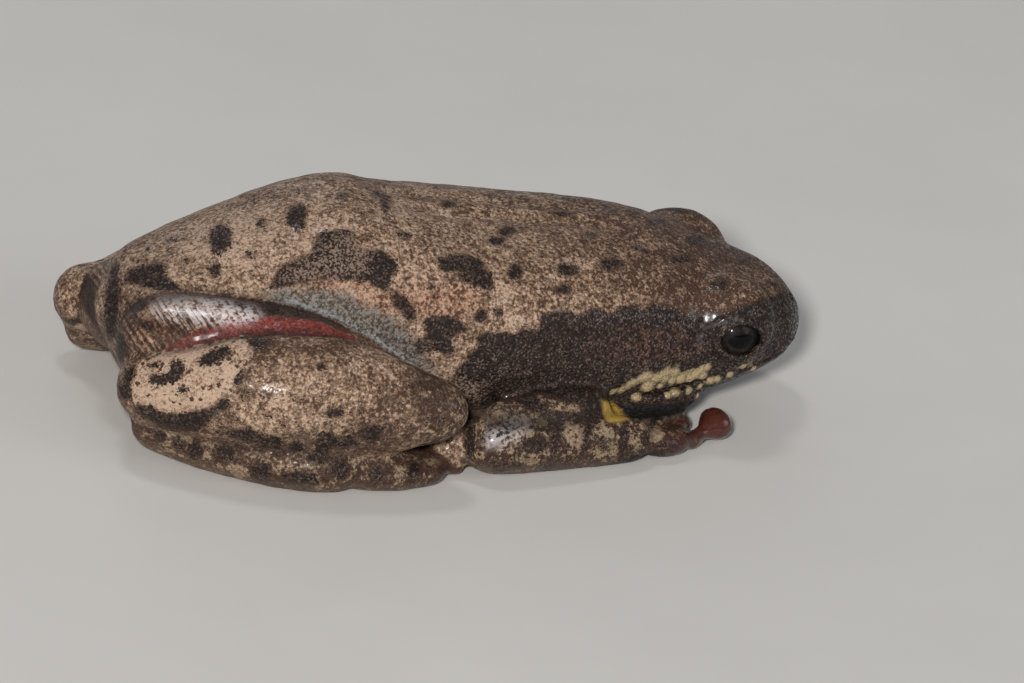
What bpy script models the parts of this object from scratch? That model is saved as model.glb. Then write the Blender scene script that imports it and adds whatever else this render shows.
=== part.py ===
"""Life-size still model of a resting reed frog, built for Blender 4.5.

The frog faces +X, its left side is +Y and it lies on the floor, which is z = 0.
The origin is on the floor, in the middle of the flat of its belly.
Tables are in millimetres; everything in the scene is in metres.
"""

import math

import bmesh
import bpy
import numpy as np
from mathutils import Matrix, Vector

MM = 0.001
GAP = 0.3  # clear gap between neighbouring pieces
PIECES = "reed_frog"

# Head and trunk: x, y, height of the widest line, half width, rise above it, depth below it, squareness
BODY = [
    (-15.6, 0, 4.4, 2.0, 1.1, 1.7, 2.0),
    (-14.2, 0, 4.4, 3.2, 2.1, 3.0, 2.1),
    (-12.2, 0, 4.4, 4.2, 3.0, 4.0, 2.2),
    (-9.6, 0, 4.3, 4.9, 4.2, 4.5, 2.2),
    (-7.0, 0, 4.25, 5.5, 5.15, 4.5, 2.2),
    (-4.8, 0, 4.2, 5.9, 5.5, 4.5, 2.2),
    (-3.0, 0, 4.2, 6.1, 5.05, 4.45, 2.25),
    (-0.8, 0, 4.15, 6.3, 4.75, 4.4, 2.3),
    (1.8, 0, 4.1, 6.25, 4.5, 4.35, 2.3),
    (4.2, 0, 4.0, 6.0, 4.35, 4.15, 2.35),
    (6.4, 0, 3.9, 5.7, 4.25, 3.65, 2.35),
    (8.4, 0, 3.8, 5.4, 4.0, 3.3, 2.35),
    (10.4, 0, 3.75, 4.9, 3.45, 3.0, 2.3),
    (12.2, 0, 3.7, 4.3, 2.75, 2.5, 2.3),
    (13.8, 0, 3.65, 3.5, 2.15, 1.9, 2.25),
    (15.0, 0, 3.65, 2.7, 1.65, 1.4, 2.2),
    (15.8, 0, 3.65, 2.1, 1.3, 1.0, 2.1),
]
BODY_BLUNT = (2.0, 1.7)  # how far the rump and the snout take to round off
NECK_X = 7.0
CHEST = (7.4, -3.0, 2.25)  # soft swelling beside the throat, over the wrist
CHEST_RADII = (3.0, 2.1, 1.55)

# Limbs, as if on the right: x, y, z, half width, half height. The left leg is folded a little tighter.
THIGHS = {
    "right": [
        (-15.4, -2.3, 4.05, 2.0, 2.1),
        (-13.6, -3.3, 4.1, 2.4, 2.35),
        (-11.2, -4.5, 4.25, 2.5, 2.45),
        (-8.0, -5.8, 4.0, 2.4, 2.35),
        (-5.0, -7.1, 3.2, 1.9, 1.85),
        (-2.8, -8.1, 2.8, 1.4, 1.45),
    ],
    "left": [
        (-15.0, -1.9, 3.3, 1.9, 1.9),
        (-13.2, -2.8, 3.2, 2.2, 2.1),
        (-10.9, -3.9, 3.4, 2.4, 2.3),
        (-7.8, -5.2, 3.5, 2.3, 2.3),
        (-5.0, -6.4, 3.0, 1.9, 1.85),
        (-2.8, -7.3, 2.7, 1.4, 1.45),
    ],
}
SHANKS = {
    "right": [
        (-15.9, -4.5, 2.85, 1.4, 1.5),
        (-13.4, -5.8, 3.3, 1.8, 1.9),
        (-11.2, -6.7, 3.43, 2.25, 2.4),
        (-9.0, -7.35, 3.42, 2.4, 2.6),
        (-7.0, -7.8, 3.37, 2.4, 2.55),
        (-5.0, -8.3, 3.4, 2.0, 2.05),
        (-3.2, -8.65, 3.4, 1.5, 1.45),
        (-1.7, -8.9, 3.35, 1.1, 1.1),
    ],
    "left": [
        (-15.9, -4.2, 2.9, 1.4, 1.4),
        (-13.6, -4.8, 2.7, 1.6, 1.5),
        (-11.2, -5.6, 2.7, 2.1, 2.05),
        (-9.0, -6.3, 2.8, 2.3, 2.25),
        (-7.0, -6.9, 2.9, 2.3, 2.35),
        (-5.0, -7.4, 3.0, 2.0, 2.0),
        (-3.2, -7.8, 3.1, 1.5, 1.45),
        (-1.7, -8.1, 3.1, 1.1, 1.1),
    ],
}
ANKLES = {
    "right": [
        (-15.2, -4.8, 1.6, 0.9, 1.0),
        (-13.0, -5.9, 1.15, 1.05, 1.15),
        (-10.9, -7.5, 1.0, 1.15, 1.1),
        (-8.3, -8.8, 1.0, 1.2, 1.1),
        (-6.2, -9.0, 0.9, 1.15, 1.0),
    ],
    "left": [
        (-15.2, -4.3, 1.6, 0.9, 1.0),
        (-13.0, -5.3, 1.15, 1.05, 1.15),
        (-10.9, -6.9, 1.0, 1.15, 1.1),
        (-8.3, -8.4, 1.0, 1.2, 1.1),
        (-6.2, -9.0, 0.9, 1.15, 1.0),
    ],
}
UPPER_ARM = [
    (5.6, -5.7, 1.9, 1.0, 1.1),
    (3.4, -6.6, 2.3, 1.2, 1.2),
    (1.2, -7.3, 2.2, 1.15, 1.15),
    (-0.8, -7.8, 1.9, 1.0, 1.05),
]
FOREARM = [
    (-1.4, -7.9, 1.4, 1.2, 1.25),
    (0.4, -7.7, 1.4, 1.35, 1.4),
    (2.8, -7.4, 1.25, 1.25, 1.3),
    (5.2, -7.1, 1.05, 1.05, 1.1),
    (7.4, -6.7, 0.85, 0.85, 0.9),
]
PALM_OF_HAND = [
    (7.0, -6.7, 0.75, 0.75, 0.7),
    (8.1, -6.4, 0.6, 0.95, 0.65),
    (9.3, -5.9, 0.5, 0.7, 0.55),
]
PALM_OF_FOOT = [
    (-6.9, -9.0, 0.8, 0.9, 0.85),
    (-5.2, -8.9, 0.7, 1.2, 0.75),
    (-3.4, -8.3, 0.6, 1.35, 0.65),
    (-2.2, -7.8, 0.5, 1.1, 0.55),
]

# Fingers and toes: root, knuckle and tip in plan, then the half width of the finger and of its pad
FINGERS = {
    "thumb": ((8.5, -6.0), (8.25, -5.4), (7.8, -4.55), 0.34, 0.42),
    "second": ((8.7, -5.9), (8.78, -5.2), (8.9, -4.3), 0.35, 0.46),
    "third": ((8.9, -6.1), (9.2, -5.4), (9.6, -4.3), 0.37, 0.52),
    "fourth": ((9.0, -6.3), (9.65, -5.95), (10.85, -5.15), 0.38, 0.78),
}
TOES = {
    "first": ((-4.4, -7.8), (-3.6, -6.6), (-3.0, -5.8), 0.34, 0.42),
    "second": ((-3.8, -7.6), (-2.6, -6.3), (-1.4, -5.7), 0.35, 0.46),
    "third": ((-3.4, -7.9), (-1.2, -6.4), (1.0, -5.7), 0.36, 0.5),
    "fourth": ((-3.2, -8.3), (-0.6, -6.6), (2.6, -5.9), 0.37, 0.52),
    "fifth": ((-3.6, -8.8), (-2.4, -8.3), (-1.6, -7.9), 0.35, 0.46),
}
DIGIT_HEIGHT = 0.42  # height of a finger's middle line above the floor
WEB_THICK = 0.5

# Head details
EYE = (11.4, -3.4, 4.6)
EYE_RADIUS = 1.5
EYE_MOUND = (11.3, -3.3, 4.65)
EYE_MOUND_RADII = (2.45, 2.28, 2.3)
LID_OPENING = (0.95, 1.3, 0.7)  # half length, half depth and half height of the gap between the lids
LID_SHIFT = 0.16  # the gap lies a little in front of the eye's middle
LID_TURN = math.radians(8)  # the eye looks a little forwards
MOUTH_X = (7.7, 17.0)
MOUTH_Z = (2.3, 3.3)  # height of the mouth line at its corner and at the snout
MOUTH_DEPTH = 0.55
LIP_HEIGHT = 1.1  # both lips together
LIP_RISE = 0.1  # how far the lips stand out from the jaw
NOSTRIL = (15.1, -1.15, 4.75)
NOSTRIL_RADIUS = 0.26


def clear_scene():
    for obj in list(bpy.data.objects):
        bpy.data.objects.remove(obj)


def add_collection(name):
    made = bpy.data.collections.new(name)
    bpy.context.scene.collection.children.link(made)
    return made


def add_material(name, colour, roughness):
    made = bpy.data.materials.new(name)
    made.use_nodes = True
    shader = made.node_tree.nodes["Principled BSDF"]
    shader.inputs["Base Color"].default_value = (*colour, 1.0)
    shader.inputs["Roughness"].default_value = roughness
    shader.inputs["Metallic"].default_value = 0.0
    return made


def add_object(name, bm, collection):
    """Links the bmesh, which is in millimetres, as an object in metres."""
    bm.normal_update()
    bmesh.ops.recalc_face_normals(bm, faces=bm.faces)
    bmesh.ops.scale(bm, vec=(MM, MM, MM), verts=bm.verts)
    mesh = bpy.data.meshes.new(name)
    bm.to_mesh(mesh)
    bm.free()
    obj = bpy.data.objects.new(name, mesh)
    collection.objects.link(obj)
    return obj


def full_rows(table):
    """Limb rows have one half height and a round section, so they are filled out to the body's seven values."""
    rows = [row if len(row) == 7 else (*row[:4], row[4], row[4], 2.0) for row in table]
    return np.array(rows, float)


def spline_at(knots, rows, slopes, t):
    """A smooth curve through the rows, continued in a straight line past both ends."""
    if t <= 0.0:
        return rows[0] + slopes[0] * t
    if t >= knots[-1]:
        return rows[-1] + slopes[-1] * (t - knots[-1])
    i = int(np.searchsorted(knots, t, side="right")) - 1
    step = knots[i + 1] - knots[i]
    u = (t - knots[i]) / step
    return (
        rows[i] * (2 * u**3 - 3 * u**2 + 1)
        + rows[i + 1] * (3 * u**2 - 2 * u**3)
        + slopes[i] * step * (u**3 - 2 * u**2 + u)
        + slopes[i + 1] * step * (u**3 - u**2)
    )


def cap_share(distance, length):
    """Share of the full section at a distance from a rounded end."""
    left = max(0.0, min(1.0, distance / length))
    return math.sqrt(max(0.0, 1.0 - (1.0 - left) ** 2))


def signed_power(value, power):
    return math.copysign(abs(value) ** power, value)


def pulled_shape(name, table, collection, sides, rings, blunt=None, grow=0.0, upright=False):
    """A sphere pulled along the table's middle line, so its poles are the two rounded ends.

    grow swells it evenly, which makes the cutter that leaves a gap round the piece.
    """
    rows = full_rows(table)
    steps = np.linalg.norm(np.diff(rows[:, :3], axis=0), axis=1)
    knots = np.concatenate([[0.0], np.cumsum(steps)])
    slopes = np.gradient(rows, knots, axis=0)
    slopes[0, 3:] = 0.0
    slopes[-1, 3:] = 0.0
    length = knots[-1]
    start_blunt, end_blunt = blunt or (max(rows[0, 3:5]), max(rows[-1, 3:5]))
    bm = bmesh.new()
    bmesh.ops.create_uvsphere(bm, u_segments=sides, v_segments=rings, radius=1.0)
    for vert in bm.verts:
        share = 0.5 - 0.5 * vert.co.z
        angle = math.atan2(vert.co.y, vert.co.x)
        along = share * (length + 2 * grow) - grow
        row = spline_at(knots, rows, slopes, along)
        ahead = spline_at(knots, rows, slopes, along + 0.05)
        behind = spline_at(knots, rows, slopes, along - 0.05)
        travel = Vector((1, 0, 0)) if upright else Vector(ahead[:3] - behind[:3]).normalized()
        side = travel.cross(Vector((0, 0, 1))).normalized()
        up = side.cross(travel)
        start_cap = cap_share(along + grow, start_blunt + grow)
        end_cap = cap_share(length + grow - along, end_blunt + grow)
        cap = start_cap * end_cap
        power = 2.0 / row[6]
        across = cap * (row[3] + grow) * signed_power(math.cos(angle), power)
        height = row[4] if math.sin(angle) > 0 else row[5]
        lift = cap * (height + grow) * signed_power(math.sin(angle), power)
        vert.co = Vector(row[:3]) + side * across + up * lift
    return add_object(name, bm, collection)


def ellipsoid(name, centre, radii, collection, turn=0.0, sides=20, rings=12):
    bm = bmesh.new()
    bmesh.ops.create_uvsphere(bm, u_segments=sides, v_segments=rings, radius=1.0)
    bmesh.ops.scale(bm, vec=radii, verts=bm.verts)
    bmesh.ops.rotate(bm, matrix=Matrix.Rotation(turn, 3, "Z"), verts=bm.verts)
    bmesh.ops.translate(bm, vec=centre, verts=bm.verts)
    return add_object(name, bm, collection)


def block(name, low, high, collection):
    bm = bmesh.new()
    bmesh.ops.create_cube(bm, size=1.0)
    low, high = Vector(low), Vector(high)
    bmesh.ops.scale(bm, vec=high - low, verts=bm.verts)
    bmesh.ops.translate(bm, vec=(low + high) / 2, verts=bm.verts)
    return add_object(name, bm, collection)


def keep_largest(obj):
    """Drops every loose scrap and sealed hollow, so that the object is one closed surface."""
    bm = bmesh.new()
    bm.from_mesh(obj.data)
    waiting = set(bm.verts)
    islands = []
    while waiting:
        island = set()
        edge_of_search = [waiting.pop()]
        while edge_of_search:
            vert = edge_of_search.pop()
            island.add(vert)
            for edge in vert.link_edges:
                other = edge.other_vert(vert)
                if other in waiting:
                    waiting.discard(other)
                    edge_of_search.append(other)
        islands.append(island)
    biggest = max(islands, key=len)
    bmesh.ops.delete(bm, geom=[v for v in bm.verts if v not in biggest], context="VERTS")
    bm.to_mesh(obj.data)
    bm.free()


def combine(obj, others, operation):
    """Applies one exact Boolean for each of the others, then removes them."""
    for other in others:
        cut = obj.modifiers.new(operation.lower(), "BOOLEAN")
        cut.operation = operation
        cut.solver = "EXACT"
        cut.object = other
    graph = bpy.context.evaluated_depsgraph_get()
    result = bpy.data.meshes.new_from_object(obj.evaluated_get(graph))
    obj.modifiers.clear()
    old = obj.data
    obj.data = result
    bpy.data.meshes.remove(old)
    for other in others:
        bpy.data.objects.remove(other)
    keep_largest(obj)
    return obj


def mirror(obj):
    """Turns a right-hand piece into a left-hand one."""
    bm = bmesh.new()
    bm.from_mesh(obj.data)
    bmesh.ops.scale(bm, vec=(1, -1, 1), verts=bm.verts)
    bmesh.ops.reverse_faces(bm, faces=bm.faces)
    bm.to_mesh(obj.data)
    bm.free()


def finish(obj, material):
    obj.data.materials.clear()
    obj.data.materials.append(material)
    for face in obj.data.polygons:
        face.material_index = 0
    obj.data.shade_smooth()


def stand_on_floor(obj, cutters):
    """Planes off what would reach below the floor, which leaves the small flat it rests on."""
    below = block("below_floor", (-30, -30, -5), (30, 30, 0), cutters)
    return combine(obj, [below], "DIFFERENCE")


def digit_table(root, knuckle, tip, half_width, pad):
    """Rows of one finger or toe: it narrows to the last joint and swells into its pad."""
    last = Vector(tip) - Vector(knuckle)
    heading = last.normalized()
    neck = Vector(tip) - heading * min(pad * 1.7, last.length * 0.6)
    front = Vector(tip) + heading * pad * 0.9
    rise = DIGIT_HEIGHT
    return [
        (*root, rise + 0.15, half_width * 1.1, half_width * 1.1),
        (*knuckle, rise, half_width, half_width),
        (*neck, rise, half_width * 0.85, half_width * 0.9),
        (*tip, max(rise + 0.05, pad * 0.92), pad, pad * 0.88),
        (*front, max(rise, pad * 0.92), pad * 0.75, pad * 0.7),
    ]


def web_plate(name, points, collection):
    """The skin between the toes: a flat outline as thick as WEB_THICK, a little above the floor."""
    bm = bmesh.new()
    rim = [bm.verts.new((x, y, DIGIT_HEIGHT - WEB_THICK / 2)) for x, y in points]
    face = bm.faces.new(rim)
    grown = bmesh.ops.extrude_face_region(bm, geom=[face])
    top = [v for v in grown["geom"] if isinstance(v, bmesh.types.BMVert)]
    bmesh.ops.translate(bm, vec=(0, 0, WEB_THICK), verts=top)
    bmesh.ops.triangulate(bm, faces=bm.faces)
    return add_object(name, bm, collection)


def make_digits(palm, digits, web, cutters, name):
    """Joins fingers or toes, and the web between them, to their palm."""
    pieces = []
    for which, (root, knuckle, tip, half_width, pad) in digits.items():
        rows = digit_table(root, knuckle, tip, half_width, pad)
        pieces.append(pulled_shape(f"{name}_{which}", rows, cutters, 8, 14))
    if web:
        pieces.append(web_plate(f"{name}_web", web, cutters))
    return combine(palm, pieces, "UNION")


def gap_round(names, tables, cutters):
    """Swollen copies of limbs, to cut the gap they need out of a neighbour."""
    return [pulled_shape(f"{name}_gap", tables[name], cutters, 14, 16, grow=GAP) for name in names]


def make_limbs(side, pieces, cutters):
    """The thigh, shank, ankle and foot of one leg and the arm, still on the right whichever side they are for."""
    tables = {
        "thigh": THIGHS[side],
        "shank": SHANKS[side],
        "ankle": ANKLES[side],
        "upper_arm": UPPER_ARM,
        "forearm": FOREARM,
    }
    cut_by = {
        "shank": [],
        "thigh": ["shank"],
        "ankle": ["shank", "thigh"],
        "forearm": ["shank"],
        "upper_arm": ["forearm", "shank"],
    }
    made = {}
    for name, others in cut_by.items():
        made[name] = pulled_shape(f"{name}_{side}", tables[name], pieces, 14, 16)
        if others:
            combine(made[name], gap_round(others, tables, cutters), "DIFFERENCE")
        if name in ("ankle", "forearm"):
            stand_on_floor(made[name], cutters)

    foot = pulled_shape(f"foot_{side}", PALM_OF_FOOT, pieces, 12, 10)
    web = [TOES[toe][1] for toe in ("fifth", "fourth", "third", "second", "first")]
    make_digits(foot, TOES, [TOES["fifth"][0], *web, TOES["first"][0]], cutters, "toe")
    combine(foot, gap_round(["ankle", "shank"], tables, cutters), "DIFFERENCE")
    made["foot"] = stand_on_floor(foot, cutters)

    hand = pulled_shape(f"hand_{side}", PALM_OF_HAND, pieces, 12, 10)
    make_digits(hand, FINGERS, None, cutters, "finger")
    combine(hand, gap_round(["forearm"], tables, cutters), "DIFFERENCE")
    made["hand"] = stand_on_floor(hand, cutters)

    gaps = gap_round(list(cut_by), tables, cutters)
    if side == "left":
        for obj in [*made.values(), *gaps]:
            mirror(obj)
    return made, gaps


def opposite(point, side):
    """A right-hand point, or its twin on the left when side is 1."""
    return (point[0], -point[1] * side if side > 0 else point[1], point[2])


def chest_swellings(name, cutters):
    """The same two forms for head and torso, which each keep their own part of them."""
    return [ellipsoid(f"{name}{side}", opposite(CHEST, side), CHEST_RADII, cutters) for side in (-1, 1)]


def make_torso(gaps, pieces, cutters):
    torso = pulled_shape("torso", BODY, pieces, 28, 36, blunt=BODY_BLUNT, upright=True)
    combine(torso, chest_swellings("chest", cutters), "UNION")
    front = block("front_half", (NECK_X - GAP / 2, -20, -5), (30, 20, 20), cutters)
    combine(torso, [front, *gaps], "DIFFERENCE")
    return stand_on_floor(torso, cutters)


def mouth_slab(name, height, cutters):
    """A level slab that follows the line of the mouth from its corner past the snout."""
    bm = bmesh.new()
    bmesh.ops.create_cube(bm, size=1.0)
    length = MOUTH_X[1] - MOUTH_X[0]
    bmesh.ops.scale(bm, vec=(length, 16.0, height), verts=bm.verts)
    slope = math.atan2(MOUTH_Z[1] - MOUTH_Z[0], length)
    bmesh.ops.rotate(bm, matrix=Matrix.Rotation(-slope, 3, "Y"), verts=bm.verts)
    middle = (sum(MOUTH_X) / 2, 0, sum(MOUTH_Z) / 2)
    bmesh.ops.translate(bm, vec=middle, verts=bm.verts)
    return add_object(name, bm, cutters)


def mouth_cutter(cutters):
    """A thin slot that runs round the jaw from corner to corner and goes MOUTH_DEPTH in."""
    slot = mouth_slab("mouth_slot", GAP, cutters)
    core = pulled_shape("mouth_core", BODY, cutters, 28, 36, BODY_BLUNT, -MOUTH_DEPTH, True)
    return combine(slot, [core], "DIFFERENCE")


def lips_band(cutters):
    """Both lips in one band that stands a little out from the jaw."""
    band = pulled_shape("lips", BODY, cutters, 28, 36, BODY_BLUNT, LIP_RISE, True)
    return combine(band, [mouth_slab("lip_slab", LIP_HEIGHT, cutters)], "INTERSECT")


def make_head(pieces, cutters):
    head = pulled_shape("head", BODY, pieces, 28, 36, blunt=BODY_BLUNT, upright=True)
    back = block("back_half", (-30, -20, -5), (NECK_X + GAP / 2, 20, 20), cutters)
    mounds = [lips_band(cutters), *chest_swellings("throat", cutters)]
    holes = [back, mouth_cutter(cutters)]
    for side in (-1, 1):
        mounds.append(ellipsoid(f"mound{side}", opposite(EYE_MOUND, side), EYE_MOUND_RADII, cutters))
        ball = (EYE_RADIUS + GAP,) * 3
        holes.append(ellipsoid(f"socket{side}", opposite(EYE, side), ball, cutters))
        outer = (EYE[0] + LID_SHIFT, EYE[1] - EYE_RADIUS, EYE[2])
        turn = LID_TURN * side
        holes.append(ellipsoid(f"lids{side}", opposite(outer, side), LID_OPENING, cutters, turn))
        pit = (NOSTRIL_RADIUS,) * 3
        holes.append(ellipsoid(f"nostril{side}", opposite(NOSTRIL, side), pit, cutters, 0, 8, 6))
    combine(head, mounds, "UNION")
    return combine(head, holes, "DIFFERENCE")


def main():
    clear_scene()
    pieces = add_collection(PIECES)
    cutters = add_collection("cutters")
    back_skin = add_material("mottled_back_skin", (0.46, 0.36, 0.27), 0.5)
    leg_skin = add_material("mottled_leg_skin", (0.38, 0.28, 0.2), 0.5)
    digit_skin = add_material("red_brown_digit_skin", (0.33, 0.1, 0.06), 0.4)
    eye_shine = add_material("dark_eye", (0.05, 0.04, 0.035), 0.1)

    gaps = []
    for side in ("right", "left"):
        limbs, limb_gaps = make_limbs(side, pieces, cutters)
        gaps.extend(limb_gaps)
        for name, obj in limbs.items():
            finish(obj, digit_skin if name in ("hand", "foot") else leg_skin)
        eye = ellipsoid(f"eye_{side}", EYE, (EYE_RADIUS,) * 3, pieces, 0, 20, 14)
        if side == "left":
            mirror(eye)
        finish(eye, eye_shine)
    finish(make_torso(gaps, pieces, cutters), back_skin)
    finish(make_head(pieces, cutters), back_skin)


main()
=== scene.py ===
import math

import bmesh
import bpy
import numpy as np
from mathutils import Matrix, Vector, noise
from mathutils.bvhtree import BVHTree


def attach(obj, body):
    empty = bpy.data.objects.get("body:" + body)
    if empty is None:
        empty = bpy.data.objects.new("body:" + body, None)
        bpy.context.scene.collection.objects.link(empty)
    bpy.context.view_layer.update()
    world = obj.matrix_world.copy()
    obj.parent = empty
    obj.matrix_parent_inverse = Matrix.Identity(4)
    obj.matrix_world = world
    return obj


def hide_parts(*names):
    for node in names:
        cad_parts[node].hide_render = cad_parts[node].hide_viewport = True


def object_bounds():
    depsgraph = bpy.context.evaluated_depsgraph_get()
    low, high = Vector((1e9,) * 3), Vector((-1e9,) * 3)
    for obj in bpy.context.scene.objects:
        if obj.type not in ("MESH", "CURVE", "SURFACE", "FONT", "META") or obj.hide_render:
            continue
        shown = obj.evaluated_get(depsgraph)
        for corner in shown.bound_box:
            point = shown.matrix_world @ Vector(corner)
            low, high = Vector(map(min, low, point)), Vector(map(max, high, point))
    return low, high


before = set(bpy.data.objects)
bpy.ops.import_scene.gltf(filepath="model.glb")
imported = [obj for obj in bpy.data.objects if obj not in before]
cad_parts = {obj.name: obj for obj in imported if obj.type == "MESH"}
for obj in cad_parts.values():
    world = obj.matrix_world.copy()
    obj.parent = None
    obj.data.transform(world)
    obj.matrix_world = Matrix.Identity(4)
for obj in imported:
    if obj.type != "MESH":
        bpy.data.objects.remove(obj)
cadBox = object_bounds()
mm = 0.001  # the shapes are worked out in millimetres and made metres at the end


def placed(name, data):
    obj = bpy.data.objects.new(name, data)
    bpy.context.scene.collection.objects.link(obj)
    return obj


def meshOf(name, bm):
    # a mesh with all that bm holds, which is freed
    mesh = bpy.data.meshes.new(name)
    bm.to_mesh(mesh)
    bm.free()
    return mesh


def surfaceTree(mesh):
    bm = bmesh.new()
    bm.from_mesh(mesh)
    tree = BVHTree.FromBMesh(bm)
    bm.free()
    return tree


def pointsOf(mesh):
    co = np.zeros(len(mesh.vertices) * 3)
    mesh.vertices.foreach_get("co", co)
    return co.reshape(-1, 3)


def normalsOf(mesh):
    normal = np.zeros(len(mesh.vertices) * 3)
    mesh.vertices.foreach_get("normal", normal)
    return normal.reshape(-1, 3)


def edgesOf(mesh):
    edges = np.zeros(len(mesh.edges) * 2, np.int32)
    mesh.edges.foreach_get("vertices", edges)
    return edges.reshape(-1, 2)


def setPoints(mesh, points):
    mesh.vertices.foreach_set("co", points.reshape(-1))
    mesh.update()


# The camera stands low behind the right flank, and the picture leans a little.

cameraSettings = {
    "turn": math.radians(-20.7),  # from straight at the right flank, round towards the rump
    "rise": math.radians(23.9),
    "roll": math.radians(-7.4),
    "distance": 1000.0,
    "scale": 23.56,  # picture points for each millimetre at the frog's middle
    "origin": (434.0, 394.0),  # where the frog's origin falls in the picture
    "size": (1024, 683),
    "sensor": 36.0,
}


def cameraAxes(settings):
    turn, rise, roll = settings["turn"], settings["rise"], settings["roll"]
    level = Vector((math.cos(turn), math.sin(turn), 0))
    back = Vector((math.sin(turn) * math.cos(rise), -math.cos(turn) * math.cos(rise), math.sin(rise)))
    upright = back.cross(level)
    right = level * math.cos(roll) - upright * math.sin(roll)
    up = level * math.sin(roll) + upright * math.cos(roll)
    return right, up, back


def cameraPlace(settings):
    right, up, back = cameraAxes(settings)
    width, height = settings["size"]
    aside = (width / 2 - settings["origin"][0]) / settings["scale"]
    above = (settings["origin"][1] - height / 2) / settings["scale"]
    return right * aside + up * above + back * settings["distance"]


def pictureOf(points):
    # where points in millimetres fall in the picture, in its own points
    settings = cameraSettings
    right, up, back = (np.array(axis) for axis in cameraAxes(settings))
    away = points - np.array(cameraPlace(settings))
    width, height = settings["size"]
    depth = -(away @ back)
    focal = settings["scale"] * settings["distance"]
    across = width / 2 + focal * (away @ right) / depth
    down = height / 2 - focal * (away @ up) / depth
    return np.stack([across, down], axis=1)


def sightLine(spot):
    # the ray from the camera through a point of the picture
    settings = cameraSettings
    right, up, back = cameraAxes(settings)
    width, height = settings["size"]
    focal = settings["scale"] * settings["distance"]
    aim = right * (spot[0] - width / 2) - up * (spot[1] - height / 2) - back * focal
    return cameraPlace(settings), aim.normalized()


def addCamera(settings):
    right, up, back = cameraAxes(settings)
    data = bpy.data.cameras.new("photoCamera")
    data.sensor_width = settings["sensor"]
    data.lens = settings["scale"] * settings["distance"] * settings["sensor"] / settings["size"][0]
    data.clip_start = 0.01
    data.clip_end = 20.0
    camera = placed("photoCamera", data)
    turned = Matrix((right, up, back)).transposed().to_4x4()
    camera.matrix_world = Matrix.Translation(cameraPlace(settings) * mm) @ turned
    bpy.context.scene.camera = camera


addCamera(cameraSettings)
print("camera placed")

# The forms under the skin: body, limbs and digits, each a pulled sphere, all wrapped in one skin.

bodySettings = {
    # x, y, height of the widest line, half width, rise above it, depth below it, squareness
    "rows": [
        (-15.6, 0, 4.4, 2.0, 1.1, 1.7, 2.0),
        (-14.2, 0, 4.4, 3.2, 2.1, 3.0, 2.1),
        (-12.2, 0, 4.4, 4.2, 3.0, 4.0, 2.2),
        (-9.6, 0, 4.3, 4.9, 4.2, 4.5, 2.2),
        (-7.0, 0, 4.25, 5.5, 5.15, 4.5, 2.2),
        (-4.8, 0, 4.2, 5.9, 5.5, 4.5, 2.2),
        (-3.0, 0, 4.2, 6.1, 5.05, 4.45, 2.25),
        (-0.8, 0, 4.15, 6.3, 4.75, 4.4, 2.3),
        (1.8, 0, 4.1, 6.25, 4.5, 4.35, 2.3),
        (4.2, 0, 4.0, 6.0, 4.35, 4.15, 2.35),
        (6.4, 0, 3.9, 5.7, 4.25, 3.65, 2.35),
        (8.4, 0, 3.8, 5.4, 4.0, 3.3, 2.35),
        (10.4, 0, 3.75, 4.9, 3.45, 3.0, 2.3),
        (12.2, 0, 3.7, 4.3, 2.75, 2.5, 2.3),
        (13.8, 0, 3.65, 3.5, 2.15, 1.9, 2.25),
        (15.0, 0, 3.65, 2.7, 1.65, 1.4, 2.2),
        (15.8, 0, 3.65, 2.1, 1.3, 1.0, 2.1),
    ],
    "blunt": (2.0, 1.7),
    "sides": 56,
    "rings": 80,
}
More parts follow.
